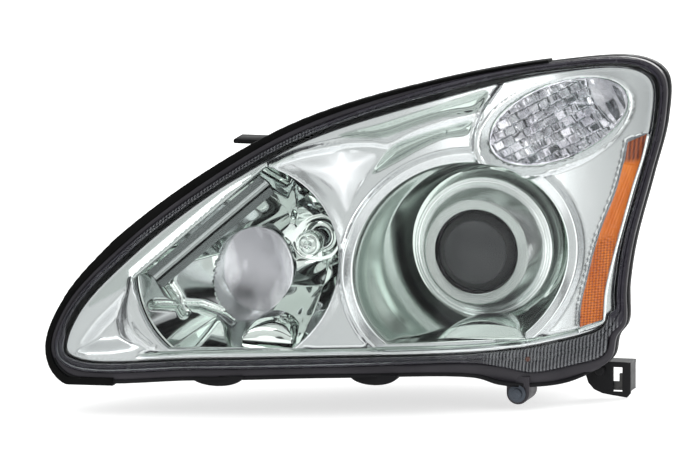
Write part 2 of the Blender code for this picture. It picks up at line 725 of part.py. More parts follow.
def make_pivot(mats, parts, tools):
    """The socket in the carrier, and the ball stud that goes back through the rear wall."""
    x, y, z = PIVOT
    socket = cylinder("pivot_socket", PIVOT, 18, 10.8, mats["nylon"], parts, segments=24)
    mouth = cylinder("pivot_mouth", (x, y + 20, z), 40, 5.6, None, tools, segments=20)
    cut(socket, ball("pivot_cavity", PIVOT, CUP_R, None, tools), mouth)
    stud = ball("pivot_ball_stud", PIVOT, BALL_R, mats["steel"], parts)
    end = rear_depth(x) + 6
    reach = end + 2 - y
    shank = cylinder("pivot_shank", (x, y + reach / 2, z), reach, 3.5, None, tools, segments=20)
    join(stud, shank, cylinder("pivot_head", (x, end + 3.0, z), 5, 6.5, None, tools, segments=6))


def make_aim_screw(name, at, mats, parts, tools):
    """A screw that turns in the housing, and the round nut that it pushes along in the carrier's cup."""
    x, z = at
    y, wall = PIVOT[1], rear_depth(x) + 6
    profile = [(0, y - 15), (SCREW_R, y - 14), (SCREW_R, wall + 0.4), (6, wall + 0.4), (6, wall + 2.4),
               (4.5, wall + 2.4), (4.5, wall + 5), (0, wall + 5)]
    screw = turned(f"{name}_screw", profile, at, mats["steel"], parts, steps=18)
    join(screw, cylinder(f"{name}_hex", (x, wall + 5, z), 5.4, 7, None, tools, segments=6))
    nut = ball(f"{name}_nut", (x, y, z), BALL_R, mats["nylon"], parts)
    cut(nut, cylinder(f"{name}_nut_bore", (x, y, z), 30, SCREW_R + 0.35, None, tools, segments=18))


def make_high_beam(mats, parts, tools):
    """The reflector bowl, with its bulb on a quarter-turn base and the shield before the bulb's tip."""
    x, z = HIGH_AXIS
    rim = cut_circle(HIGH_OPENING, HIGH_OPENING_R, HIGH_FLOOR_Z, HIGH_CHORD, grow=2.0, count=36)
    front = on_lens(rim, BEZEL_DEPTH + 15.0)
    hub = at_depth(circle(HIGH_AXIS, 14.0, 36), -137.0)
    loops = [front]
    loops += [part_way(front, hub, share, 1 - (1 - share) ** 2) for share in (0.25, 0.5, 0.75)]
    loops += [hub, at_depth(circle(HIGH_AXIS, 14.0, 36), -131.0)]
    reflector = loft("high_beam_reflector", loops, mats["chrome"], parts)
    face_out(reflector, (x, -400, z))
    solidify(reflector, 2.2, offset=1.0)
    glass = [(0, -176), (4, -175), (6.3, -171), (6.3, -139.3), (0, -139.3)]
    turned("high_bulb_glass", glass, HIGH_AXIS, mats["glass"], parts, steps=18)
    body = [(0, -139), (11, -139), (11, -130.6), (17, -130.6), (17, -127), (12, -127), (12, -104), (0, -104)]
    base = turned("high_bulb_base", body, HIGH_AXIS, mats["black"], parts, steps=20)
    join(base, box("high_base_plug", (x - 8, -110, z - 26), (x + 8, -98, z - 6), None, tools))
    cap = [(0, -186), (6, -185), (11, -181.5), (11, -173), (10, -173), (10, -180.5), (5.6, -184), (0, -185)]
    shield = turned("high_bulb_shield", cap, HIGH_AXIS, mats["chrome"], parts, steps=24)
    join(
        shield,
        box("shield_leg", (x - 2, -180, z - 11.6), (x + 2, -142, z - 10.2), None, tools),
        box("shield_foot", (x - 1.8, -143.4, z - 17), (x + 1.8, -142.2, z - 10.5), None, tools),
    )


def make_projector(mats, parts, tools):
    """Lens in its holder, shroud, rear reflector, cut-off shutter and the bulb on its base."""
    x, z = LOW_AXIS
    mouth, back = FRAME_FRONT_Y - GAP, FRAME_BACK_Y + GAP
    holder = [(35, -137), (37.4, -136), (41, -96), (46, -92), (46, mouth), (39, mouth), (34.8, -126.5),
              (34.8, -132)]
    turned("projector_lens_holder", holder, LOW_AXIS, mats["black"], parts, steps=28)
    dome = [(0, -149)]
    for k in range(1, 6):
        angle = math.radians(90) * k / 6
        dome.append((LENS_R * math.sin(angle), -133 - 16 * math.cos(angle)))
    dome += [(LENS_R, -133), (LENS_R, -128.0), (0, -128.0)]
    turned("projector_lens", dome, LOW_AXIS, mats["glass"], parts, steps=28)
    reflector = [(46, back), (46, back + 3), (41, back + 4), (37, -64), (29, -46), (17.5, -37), (17.5, -32),
                 (13.2, -32), (13.2, -39), (26.5, -48), (34.3, -65), (38.6, back)]
    turned("projector_reflector", reflector, LOW_AXIS, mats["aluminium"], parts, steps=24)
    shutter = cylinder("projector_shutter", (x, -85.5, z), 1.6, 41, mats["steel"], parts, segments=32)
    cut(shutter, box("shutter_cut_left", (x - 60, -100, z - 1), (x, -70, z + 60), None, tools))
    cut(shutter, box("shutter_cut_right", (x - 1, -100, z + 0.2), (x + 60, -70, z + 60), None, tools))
    shroud = [(38.4, -138), (38.4, -140), (43.5, -140.5), (54, -113), (57.5, -112.8), (60, -110.5),
              (57, -106.5), (51, -105.5), (49, -92.8), (47.5, -92.8), (49, -107.5), (42.2, -138)]
    turned("projector_shroud", shroud, LOW_AXIS, mats["silver"], parts, steps=28)
    glass = [(0, -74), (3.5, -73), (5.5, -69), (5.5, -40.3), (0, -40.3)]
    turned("low_bulb_glass", glass, LOW_AXIS, mats["glass"], parts, steps=16)
    body = [(0, -40), (12, -40), (12, -31.4), (19, -31.4), (19, -28), (13, -28), (13, -10), (0, -10)]
    base = turned("low_bulb_base", body, LOW_AXIS, mats["black"], parts, steps=20)
    join(base, box("low_base_plug", (x - 10, -16, z - 32), (x + 10, -4, z - 6), None, tools))


def make_carrier_screws(mats, parts):
    """The three screws that hold the projector's flange to the carrier."""
    back = FRAME_BACK_Y + GAP
    profile = [(0, back), (5, back), (5, back + 3.2), (3, back + 3.9), (0, back + 3.9)]
    for i, degrees in enumerate((45, 165, 285)):
        angle = math.radians(degrees)
        at = (LOW_AXIS[0] + 52 * math.cos(angle), LOW_AXIS[1] + 52 * math.sin(angle))
        turned(f"projector_screw_{i + 1}", profile, at, mats["steel"], parts, steps=12)


# ---------------------------------------------------------------- covers, bracket and wiring


def make_cover(name, port, mats, parts, tools):
    """A twist-off dust cover on a collar, with a bar to turn it by, and its gasket."""
    axis, hole, collar, end = port
    x, z = axis
    outer = collar + 3.4
    profile = [(0, end + 3.6), (collar + 0.8, end + 3.6), (collar + 0.8, end - 4), (outer, end - 4),
               (outer, end + 2), (collar + 1, end + 5.5), (collar - 4, end + 7), (0, end + 7)]
    cover = turned(f"{name}_cover", profile, axis, mats["black"], parts, steps=32)
    reach = collar * 0.82
    join(cover, box(f"{name}_bar", (x - reach, end + 5, z - 5), (x + reach, end + 15, z + 5), None, tools))
    near, far = end + 0.3, end + 3.2
    ring = [(collar - 0.4, near), (collar - 0.4, far), (hole + 0.3, far), (hole + 0.3, near)]
    turned(f"{name}_cover_gasket", ring, axis, mats["rubber"], parts, steps=28)


def make_lower_mount(mats, parts):
    front, back = LOWER_BOSS_Y
    sleeve = [(4.8, front - 0.5), (4.8, back + 0.5), (3.4, back + 0.5), (3.4, front - 0.5)]
    turned("lower_mount_sleeve", sleeve, LOWER_BOSS, mats["steel"], parts, steps=18)
    bolt = [(0, front - 6.5), (4.6, front - 6.5), (4.6, front - 2.4), (7.5, front - 2.4), (7.5, front - 0.9),
            (3, front - 0.9), (3, back + 14), (0, back + 14)]
    turned("lower_mount_bolt", bolt, LOWER_BOSS, mats["steel"], parts, steps=18)


def make_bumper_bracket(mats, parts, tools):
    """The moulded bracket under the outboard corner, with a slot for the bumper's clip."""
    front, back = -93.0, -71.0
    right, top, bottom = 189.0, -96.5, -126.5
    outline = [(152, top), (right, top), (right, bottom + 3.5), (right - 3, bottom), (173, bottom + 1.6),
               (164.4, bottom + 3), (157.6, bottom + 6), (152.6, bottom + 11.5), (150.4, bottom + 18)]
    bracket = plate("bumper_bracket", [outline], front, front + 3, mats["black"], parts)
    shelf = box("bracket_top", (158, front + 0.2, top - 2.8), (right - 0.2, back, top - 0.2), None, tools)
    side_low, side_high = (right - 2.8, front + 0.1, bottom + 5), (right - 0.4, back - 0.2, top - 0.4)
    join(bracket, shelf, box("bracket_side", side_low, side_high, None, tools))
    cut(bracket, box("bracket_slot", (174, front - 5, -122), (182, front + 10, -101), None, tools))
    clip = box("bumper_clip", (172.8, front + 3.3, -121), (185, front + 5.1, -102.5), mats["steel"], parts)
    bevel(clip, 0.6)
    head = front - GAP
    profile = [(0, head - 3), (3.4, head - 3), (4.5, head - 2), (4.5, head), (0, head)]
    turned("bracket_screw", profile, (163, -104), mats["steel"], parts, steps=14)


def make_wiring(mats, parts, tools):
    """The main connector on the rear wall, its latch and the two leads that stay outside the housing."""
    connector = box("main_connector", (44, 0.3, 78), (78, 24, 96), mats["grey"], parts)
    bevel(connector, 1.2)
    cut(connector, box("connector_mouth", (47, 10, 81), (75, 30, 93), None, tools))
    latch = box("connector_latch", (55, 3, 96.6), (67, 22, 98.4), mats["grey"], parts)
    bevel(latch, 0.5)
    x, z = TURN_AXIS
    path = [(80, 8, 88), (88, 12, 90), (98, 24, 88), (108, 32, 84), (x, 34, z), (x, 28, z)]
    tube("turn_lead", path, 3.0, mats["rubber"], parts)
    x, z = MARKER_AXIS
    path = [(80, 6, 82), (90, 5, 74), (112, 5, 56), (130, 6, 32), (142, 8, 0), (148, 20, -24),
            (x + 2, 33, -38), (x, 33, z), (x, 28, z)]
    tube("marker_lead", path, 2.6, mats["rubber"], parts)


def make_vents(mats, parts):
    """Two rubber caps on the rear wall that let the housing breathe."""
    profile = [(0, 0.5), (5.5, 0.5), (7, 3), (7, 12), (5, 14), (0, 14)]
    for name, at in (("upper_vent_cap", (52, 66)), ("lower_vent_cap", (118, -66))):
        turned(name, profile, at, mats["rubber"], parts, steps=16)


def main():
    clear_scene()
    parts, tools = new_collection("headlight"), new_collection("cutters")
    mats = make_materials()
    make_outer_lens(mats, parts)
    make_sealant(mats, parts)
    make_housing(mats, parts, tools)
    make_hood_seal(mats, parts)
    make_bezel(mats, parts, tools)
    make_amber(mats, parts)
    make_low_bowl(mats, parts)
    make_turn_signal(mats, parts)
    socket_set("turn", TURN_PORT, -76.0, 8.0, mats, parts, tools)
    socket_set("marker", MARKER_PORT, -62.0, 5.0, mats, parts, tools)
    make_aim_frame(mats, parts, tools)
    make_pivot(mats, parts, tools)
    make_aim_screw("vertical_aim", VERTICAL_SCREW, mats, parts, tools)
    make_aim_screw("horizontal_aim", HORIZONTAL_SCREW, mats, parts, tools)
    make_high_beam(mats, parts, tools)
    make_projector(mats, parts, tools)
    make_carrier_screws(mats, parts)
    make_cover("low_beam", LOW_PORT, mats, parts, tools)
    make_cover("high_beam", HIGH_PORT, mats, parts, tools)
    make_lower_mount(mats, parts)
    make_bumper_bracket(mats, parts, tools)
    make_wiring(mats, parts, tools)
    make_vents(mats, parts)
    hang(parts, PIVOT, CARRIER_PIECES)


main()
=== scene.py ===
"""The looks of a left-hand car headlight assembly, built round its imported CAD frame.

Lengths are in millimetres until a mesh is made, and MM turns them into metres. +X points outboard, +Y to the
rear and +Z up. Outlines are seen along Y, as (x, z).
"""

import math

import bpy
import numpy as np
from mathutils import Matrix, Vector, geometry


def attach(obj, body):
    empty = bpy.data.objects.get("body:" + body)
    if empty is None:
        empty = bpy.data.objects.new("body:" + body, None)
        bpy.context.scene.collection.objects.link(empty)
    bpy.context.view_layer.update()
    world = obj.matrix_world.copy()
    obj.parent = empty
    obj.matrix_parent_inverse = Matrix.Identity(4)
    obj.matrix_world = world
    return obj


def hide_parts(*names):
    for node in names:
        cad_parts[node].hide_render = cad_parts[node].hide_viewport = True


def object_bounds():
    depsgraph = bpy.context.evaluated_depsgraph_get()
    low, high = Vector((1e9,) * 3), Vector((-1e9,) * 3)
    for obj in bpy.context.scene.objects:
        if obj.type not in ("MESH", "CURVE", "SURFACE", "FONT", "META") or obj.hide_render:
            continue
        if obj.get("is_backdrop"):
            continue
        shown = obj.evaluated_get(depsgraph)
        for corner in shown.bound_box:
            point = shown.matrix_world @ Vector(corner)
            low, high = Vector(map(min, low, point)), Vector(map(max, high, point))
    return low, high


MM = 0.001

# The outer lens's surface, and the outlines of lens, bezel and housing.
TIP_X, TIP_Y, FOOT_Z = -254.5, -290.0, -81.0
SWEEP, SWEEP_CUBIC, LEAN = 0.10, 1.6e-6, 0.30
LENS_WALL, LENS_SKIRT = 3.0, 12.0
MIDDLE = np.array((-10.0, 25.0))
LENS_EDGE = [
    (-245, -87.5), (-260, -73.5), (-250, -38.5), (-208.5, 9), (-141.5, 61.5), (-67.5, 105.5),
    (25.5, 135.5), (117, 151), (180, 148.5), (196.5, 135.5), (199, 101.5), (192, 57.5),
    (182.5, 2.5), (180, -35), (181, -61), (175.5, -69.5), (172, -86), (151, -92), (121.5, -95.5),
    (103, -90.5), (76.5, -85), (-30, -84.5), (-138.5, -86.5),
]
BEZEL_EDGE = [
    (-239, -82.5), (-253.5, -74.5), (-244.5, -43), (-203, 4), (-137.5, 57.5), (-67, 98), (25, 127),
    (116.5, 146.5), (178, 145), (193, 133), (195, 101.5), (187, 57), (175.5, 2.5), (173.5, -35),
    (173.5, -55), (169, -65.5), (154.5, -70.5), (135, -74), (118, -76.5), (100.5, -77.5),
    (75.5, -78.5), (-31, -78), (-140, -80),
]
HOUSING_EDGE = [
    (-248.5, -95.5), (-264.5, -74), (-254.5, -37), (-212, 11.5), (-145, 65.5), (-70.5, 110),
    (23, 140.5), (118, 155.5), (181.5, 153.5), (201, 138.5), (204, 101.5), (197, 57.5),
    (187.5, 2.5), (185, -35), (186, -63), (180.5, -72.5), (177, -90.5), (151, -105.5),
    (121.5, -108), (97.5, -104.5), (78, -97.5), (-30, -94), (-139, -96),
]
# The rear wall: a rounded rectangle that steps forward towards its inboard end.
REAR_MIDDLE, REAR_HALF, REAR_SQUARENESS = (25.0, 18.0), (135.0, 92.0), 4.0
REAR_STEP, REAR_STEP_FROM, REAR_STEP_TO = 45.0, -60.0, 40.0
HOUSING_WALL = 3.0
BEZEL_DEPTH, BEZEL_WALL = 14.0, 2.5

# The lamps: bulb axes, openings in the bezel, and what stands in them.
LOW_AXIS, HIGH_AXIS = (67.0, 0.0), (-67.0, 8.0)
LOW_OPENING, LOW_OPENING_R, LOW_FLOOR_Z = (59.0, -4.0), 81.0, -68.0
HIGH_OPENING, HIGH_OPENING_R, HIGH_FLOOR_Z = (-117.0, -5.0), 83.0, -71.0
HIGH_CHORD = ((-201.0, -17.0), (-105.0, 69.0))
LOW_FOOT_R, LOW_FOOT_Y = 65.0, -98.0
LOW_HOLE_R, LOW_HOLE_Y = 53.0, -96.5
DOME_R, DOME_Y, DOME_RISE = 34.0, -133.0, 16.0
HIGH_HUB_R, HIGH_HUB_Y, HIGH_HUB_DEPTH = 14.0, -137.0, 5.5
TURN_HUB_R, TURN_HUB_Y = 12.0, -42.0
RIM_SCREW = (118.0, -84.5)
HIGH_CREASES = [[(-181, -2), (-181, -26), (-166, -49)], [(-188, -40), (-156, -45), (-128, -57)]]
DISH_MIDDLE, DISH_HALF = np.array((-119.0, -20.0)), np.array((31.0, 37.0))
DISH_Y, DISH_SEAT_Y = -150.0, -140.0
TURN_MIDDLE, TURN_HALF, TURN_TILT = (126.0, 106.0), (52.0, 32.0), math.radians(20)
TURN_AXIS, MARKER_AXIS = (118.0, 82.0), (142.0, -42.0)
AMBER_OUTBOARD = [
    (177.5, 84.5), (190, 89.5), (187.5, 72), (182.5, 49.5), (175.5, 12), (171.5, -10.5),
    (168, -36.5), (168, -58.5),
]
AMBER_INBOARD = [
    (152.5, -63), (152.5, -44.5), (155.5, -24.5), (159, -2.5), (164, 19.5), (171.5, 45),
    (176, 69.5),
]

# Rear openings: axis, hole radius, collar radius, collar end along Y.
LOW_PORT = (LOW_AXIS, 48.0, 53.0, 10.0)
HIGH_PORT = (HIGH_AXIS, 32.0, 37.0, -26.0)
TURN_PORT = (TURN_AXIS, 13.0, 17.0, 5.0)
MARKER_PORT = (MARKER_AXIS, 10.0, 14.0, 5.0)
PORTS = (LOW_PORT, HIGH_PORT, TURN_PORT, MARKER_PORT)
AIM_SCREWS = ((5.0, 70.0), (-80.0, -50.0))
# Ribs on the rear wall: upright ones as x and their span in Z, level ones as their span in X and z.
UPRIGHT_RIBS = (
    (-96, 44, 92), (-78, 46, 98), (-40, 62, 104), (-22, 40, 106), (30, 62, 76), (92, 56, 66), (140, -20, 60),
)
LEVEL_RIBS = ((-20, 14, 40), (16, 40, 76), (-20, 8, -66), (126, 150, 60), (124, 150, -60))
PIVOT = (5.0, -86.0, -50.0)
LOWER_BOSS, LOWER_BOSS_Y = (110.5, -113.0), (-172.0, -142.0)
# The hood seal's width at each of the housing's points that it covers.
SEAL_WIDTHS = (6.0, 4.2, 4.2, 7.5, 6.5, 4.6, 2.6, 2.4)

# Outlines and lines of the bezel's relief.
SWOOSH = [(-93, 78), (-70, 88), (-47, 93), (-30, 96), (-13, 96), (-1, 94.5), (16, 103), (36, 110), (64, 116)]
UPPER_RECESS = [
    (-41, 101), (-7, 111), (25, 121), (54, 130), (73, 134), (66, 118), (40, 114), (17, 107), (-3, 99.5),
    (-22, 99),
]
SIDE_RECESS = [
    (-12, 70), (-7, 80), (1, 91), (20, 100), (45, 107), (62, 110), (60, 100), (42, 97), (24, 89), (5, 78),
]
STAR_PANEL = [
    (-90, 77), (-68, 85), (-44, 89), (-23, 89), (-9, 85), (-17, 66), (-25, 49), (-30, 38), (-38, 51),
    (-51, 64), (-70, 73),
]
STAR_MIDDLE, STAR_TIPS = (-36, 72), ((-10, 86), (-31, 40), (-88, 77), (-38, 92))
TURN_PLATEAU = [
    (77, 134), (66, 111), (63, 91), (68, 75), (83, 62), (98, 58), (118, 62), (150, 73), (171, 86),
    (202, 92), (202, 142), (182, 154), (118, 153), (88, 146),
]
CORNER_PANEL = [(-246, -76), (-236, -55), (-219, -36), (-203, -20), (-204, -40), (-200, -58), (-190, -71)]
CORNER_BAND = [(-201, -17), (-203, -40), (-197, -58), (-182, -70)]

# The bodies that most pieces ride on.
LAMP, AIM = "lamp_body", "aim_carrier"

# Points on each span of an outline, the angle in degrees from which an edge is sharp, a place well before the
# lamp, and the pitch of the side marker's reflex grid.
SPAN_STEPS = 8
SHARP_ANGLE = 35
AHEAD = (0, -900, 0)
REFLEX_PITCH = 4.4

# The turn signal's prisms: their turn against the ellipse, their size, and where the smooth band starts.
PRISM_TURN, PRISM_WIDE, PRISM_HIGH = 0.12, 8.2, 7.5
PRISM_BAND, PRISM_BAND_BEND = 29.0, 0.006

# The camera's turn round the lamp and rise in degrees, its target, lens, sensor and width of view in metres.
CAMERA_TURN, CAMERA_RISE = 14, 9
CAMERA_TARGET = (-4.5, -290.0, 36.0)
CAMERA_LENS, CAMERA_SENSOR, CAMERA_SPAN = 900.0, 36.0, 0.581
# Area lights: place, target, size in metres and power.
LIGHTS = {
    "key": ((-0.9, -1.6, 1.5), (0, -0.2, 0), (1.2, 0.8), 7),
    "fill": ((1.6, -1.2, 0.7), (0, -0.2, 0), (0.9, 0.9), 3),
    "back": ((0.6, 1.6, 1.0), (0, -0.1, 0), (1.4, 0.9), 40),
}
# Dark gaps between the studio's panels: low end, high end and softness, round the lamp and in height.
STUDIO_GAPS = (
    ((-1.02, -0.80, 0.05), (-0.25, 0.55, 0.05)),
    ((1.45, 1.62, 0.05), (-0.35, 0.30, 0.05)),
    ((-0.16, 0.10, 0.05), (-0.30, 0.12, 0.04)),
    ((-2.2, 1.4, 0.2), (0.60, 0.66, 0.03)),
    ((-2.6, 2.6, 0.2), (-0.36, -0.28, 0.03)),
    ((2.0, 2.4, 0.1), (-0.4, 0.8, 0.1)),
)


# ---------------------------------------------------------------- curves and fields


def curve_through(points, steps, closed=True):
    """A centripetal Catmull-Rom curve through the points, with steps points for each span."""
    line = [np.array(p, float) for p in points]
    if not closed:
        line = [2 * line[0] - line[1], *line, 2 * line[-1] - line[-2]]
    count = len(line)
    made = []
    for i in range(count) if closed else range(1, count - 2):
        near = [line[(i + k) % count] for k in (-1, 0, 1, 2)]
        knots = [0.0]
        for a, b in zip(near, near[1:]):
            knots.append(knots[-1] + math.sqrt(np.linalg.norm(b - a)))
        made += [span_point(near, knots, knots[1] + (knots[2] - knots[1]) * k / steps) for k in range(steps)]
    if not closed:
        made.append(line[-2])
    return np.array(made)


def span_point(near, knots, t):
    """The curve's point at parameter t, by repeated blends between four points."""
    first = [blend_of(near[i], near[i + 1], knots[i], knots[i + 1], t) for i in range(3)]
    second = [blend_of(first[i], first[i + 1], knots[i], knots[i + 2], t) for i in range(2)]
    return blend_of(second[0], second[1], knots[1], knots[2], t)


def blend_of(a, b, start, end, t):
    share = (t - start) / (end - start)
    return a * (1 - share) + b * share


def resampled(path, pitch, closed=True):
    """The path with points at an even pitch."""
    line = np.vstack([path, path[:1]]) if closed else np.asarray(path, float)
    along = np.concatenate([[0], np.cumsum(np.linalg.norm(np.diff(line, axis=0), axis=1))])
    count = max(4, int(round(along[-1] / pitch)))
    stops = np.linspace(0, along[-1], count + 1)
    if closed:
        stops = stops[:-1]
    return np.column_stack([np.interp(stops, along, line[:, k]) for k in range(line.shape[1])])


def lens_depth(x, z):
    """Y of the outer lens's front surface."""
    along = x - TIP_X
    return TIP_Y + SWEEP * along + SWEEP_CUBIC * along**3 + LEAN * (z - FOOT_Z)


def on_lens(loop, behind):
    """The (x, z) loop laid on the lens surface, that far behind its front."""
    loop = np.asarray(loop, float)
    return np.column_stack([loop[:, 0], lens_depth(loop[:, 0], loop[:, 1]) + behind, loop[:, 1]])


def level_with(loop, edge, behind):
    """The (x, z) loop at the depth that the lens has at the matching points of its edge."""
    return np.column_stack([loop[:, 0], lens_depth(edge[:, 0], edge[:, 1]) + behind, loop[:, 1]])


def at_depth(loop, y):
    loop = np.asarray(loop, float)
    return np.column_stack([loop[:, 0], np.full(len(loop), y), loop[:, 1]])


def rise(distance, width):
    """0 at no distance, 1 from the given width on, smooth between."""
    t = np.clip(distance / width, 0, 1)
    return t * t * (3 - 2 * t)


def inside(loop, at):
    """Whether each (x, z) row lies inside the loop."""
    x, z = at[:, 0], at[:, 1]
    hits = np.zeros(len(at), bool)
    for (x0, z0), (x1, z1) in zip(loop, np.roll(loop, -1, axis=0)):
        if z0 == z1:
            continue
        crosses = (z0 > z) != (z1 > z)
        hits ^= crosses & (x < x0 + (z - z0) * (x1 - x0) / (z1 - z0))
    return hits


def distance(path, at, closed=True):
    """Each (x, z) row's distance to the path."""
    path = np.asarray(path, float)
    starts, ends = (path, np.roll(path, -1, axis=0)) if closed else (path[:-1], path[1:])
    best = np.full(len(at), 1e9)
    for a, b in zip(starts, ends):
        along = b - a
        t = np.clip((at - a) @ along / max(along @ along, 1e-9), 0, 1)
        best = np.minimum(best, np.hypot(*(at - a - t[:, None] * along).T))
    return best


def depth_in(loop, at):
    """How far each row lies inside the loop, negative outside."""
    loop = np.asarray(loop, float)
    reach = distance(loop, at)
    return np.where(inside(loop, at), reach, -reach)


def ridge(away, width):
    """1 on a line, falling smoothly to 0 on both sides of it."""
    return np.exp(-((away / width) ** 2))


def full_turn(count):
    """The angles of a full turn, in even steps."""
    return np.arange(count) * 2 * math.pi / count


def circle(centre, radius, count=96):
    turns = full_turn(count)
    return np.column_stack([centre[0] + radius * np.cos(turns), centre[1] + radius * np.sin(turns)])


def cut_circle(centre, radius, floor_z, chord=None, grow=0.0, count=180):
    """A circle with a flat floor and, if given, one more straight side, grown by a margin."""
    turns = full_turn(count)
    ray = np.column_stack([np.cos(turns), np.sin(turns)])
    reach = np.full(count, radius + grow)
    down = ray[:, 1] < 0
    reach[down] = np.minimum(reach[down], (floor_z - grow - centre[1]) / ray[down, 1])
    if chord:
        start, end = np.array(chord[0]), np.array(chord[1])
        normal = np.array((start[1] - end[1], end[0] - start[0]))
        normal = normal / np.linalg.norm(normal)
        facing = ray @ normal
        ahead = facing > 0
        reach[ahead] = np.minimum(reach[ahead], ((start - centre) @ normal + grow) / facing[ahead])
    return np.array(centre) + ray * reach[:, None]


def low_opening(grow=0.0, count=360):
    return cut_circle(LOW_OPENING, LOW_OPENING_R, LOW_FLOOR_Z, grow=grow, count=count)


def high_opening(grow=0.0, count=360):
    return cut_circle(HIGH_OPENING, HIGH_OPENING_R, HIGH_FLOOR_Z, HIGH_CHORD, grow=grow, count=count)


def turn_ellipse(grow=0.0, count=96):
    turns = full_turn(count)
    u = (TURN_HALF[0] + grow) * np.cos(turns)
    v = (TURN_HALF[1] + grow) * np.sin(turns)
    cos, sin = math.cos(TURN_TILT), math.sin(TURN_TILT)
    return np.column_stack([TURN_MIDDLE[0] + u * cos - v * sin, TURN_MIDDLE[1] + u * sin + v * cos])


def turn_crest(count=160):
    """The ridge round the turn signal: close to it at the top, well clear of it at the lower inboard side."""
    turns = full_turn(count)
    grow = 1.2 + 6.6 * (0.5 + 0.5 * np.cos(turns - math.radians(215)))
    base, wide = turn_ellipse(count=count), turn_ellipse(grow=10.0, count=count)
    return base + (wide - base) * grow[:, None] / 10.0


def rounded(profile, radius, steps=3, closed=True):
    """The (r, y) profile with its corners rounded, by a curve that stays within a third of each side."""
    points = [np.array(p, float) for p in profile]
    count = len(points)
    made = []
    for i, corner in enumerate(points):
        if not closed and i in (0, count - 1):
            made.append(corner)
            continue
        before, after = points[i - 1] - corner, points[(i + 1) % count] - corner
        near = min(radius, np.linalg.norm(before) / 3)
        far = min(radius, np.linalg.norm(after) / 3)
        start = corner + before / np.linalg.norm(before) * near
        end = corner + after / np.linalg.norm(after) * far
        for k in range(steps + 1):
            t = k / steps
            made.append(start * (1 - t) ** 2 + 2 * corner * t * (1 - t) + end * t * t)
    return made


# ---------------------------------------------------------------- meshes


def piece(name, points, faces, mat, body, slot, stands_for=None, sharp=SHARP_ANGLE):
    """A new object from points in millimetres, riding on its body."""
    mesh = bpy.data.meshes.new(name)
    mesh.from_pydata((np.asarray(points, float) * MM).tolist(), [], [list(map(int, f)) for f in faces])
    mesh.validate()
    mesh.materials.append(mat)
    mesh.shade_smooth()
    mesh.set_sharp_from_angle(angle=math.radians(sharp))
    obj = bpy.data.objects.new(name, mesh)
    bpy.context.scene.collection.objects.link(obj)
    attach(obj, body)
    if stands_for:
        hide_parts(stands_for)
    return obj


def lofted(rows, ring=False, front="open", back="open"):
    """Points and faces over closed rows of equal length. A ring joins its ends, and a fan closes an end."""
    count = len(rows[0])
    points = list(np.vstack(rows))
    faces = []
    spans = len(rows) if ring else len(rows) - 1
    for k in range(spans):
        a, b = k * count, (k + 1) % len(rows) * count
        faces += [(a + i, b + i, b + (i + 1) % count, a + (i + 1) % count) for i in range(count)]
    for row, how, turn in ((0, front, 1), (len(rows) - 1, back, -1)):
        if how == "fan":
            points.append(np.mean(rows[row], axis=0))
            start, hub = row * count, len(points) - 1
            faces += [(start + i, start + (i + 1) % count, hub)[::turn] for i in range(count)]
    return points, faces


def turned(profile, axis, count=96):
    """Points and faces of a closed (r, y) profile turned about a line along Y. A radius of 0 makes a pole."""
    points, faces = [], []
    rows = []
    turns = full_turn(count)
    for r, y in profile:
        start = len(points)
        if r < 1e-6:
            points.append((axis[0], y, axis[1]))
            rows.append([start] * count)
            continue
        points += [(axis[0] + r * math.cos(a), y, axis[1] + r * math.sin(a)) for a in turns]
        rows.append(list(range(start, start + count)))
    spans = list(zip(rows, rows[1:]))
    if profile[0][0] > 1e-6 and profile[-1][0] > 1e-6:
        spans.append((rows[-1], rows[0]))
    for a, b in spans:
        for i in range(count):
            j = (i + 1) % count
            face = [a[i], b[i], b[j], a[j]]
            faces.append([p for k, p in enumerate(face) if p != face[k - 1]])
    return points, [f for f in faces if len(f) > 2]


def merged(*parts):
    """Several (points, faces) in one."""
    points, faces = [], []
    for some, quads in parts:
        start = len(points)
        points += list(some)
        faces += [[start + i for i in f] for f in quads]
    return points, faces


def block(low, high, edge=0.8):
    """A box from its lowest to its highest corner, with bevelled edges."""
    low, high = np.array(low, float), np.array(high, float)
    outline = [(low[0], low[2]), (high[0], low[2]), (high[0], high[2]), (low[0], high[2])]
    rim = rounded(outline, edge * 2, 3)
    middle = (low[[0, 2]] + high[[0, 2]]) / 2
    inner = [p + (middle - p) * min(0.2, edge / 6) for p in map(np.array, rim)]
    rows = [at_depth(inner, low[1]), at_depth(rim, low[1] + edge)]
    rows += [at_depth(rim, high[1] - edge), at_depth(inner, high[1])]
    return lofted(rows, front="fan", back="fan")


def triangulated(outline, holes, guides, spacing):
    """Points in (x, z) and triangles that fill an outline with holes, with edges along the guide lines."""
    paths = [(outline, True)] + [(h, True) for h in holes] + guides
    points, edges = [], []
    for path, closed in paths:
        start, count = len(points), len(path)
        points += list(path)
        edges += [(start + i, start + (i + 1) % count) for i in range(count if closed else count - 1)]
    low, high = outline.min(axis=0), outline.max(axis=0)
    xs, zs = np.arange(low[0], high[0], spacing), np.arange(low[1], high[1], spacing * 0.866)
    grid = np.array([(x + (k % 2) * spacing / 2, z) for k, z in enumerate(zs) for x in xs])
    keep = inside(outline, grid)
    for hole in holes:
        keep &= ~inside(hole, grid)
    grid = grid[keep]
    for path, closed in paths:
        grid = grid[distance(path, grid, closed) > spacing * 0.55]
    points += list(grid)
    made = geometry.delaunay_2d_cdt([Vector(p) for p in points], edges, [], 0, 1e-4)
    at, faces = np.array([tuple(v) for v in made[0]]), np.array([f for f in made[2]])
    middles = at[faces].mean(axis=1)
    good = inside(outline, middles)
    for hole in holes:
        good &= ~inside(hole, middles)
    used, index = np.unique(faces[good], return_inverse=True)
    return at[used], index.reshape(-1, 3)


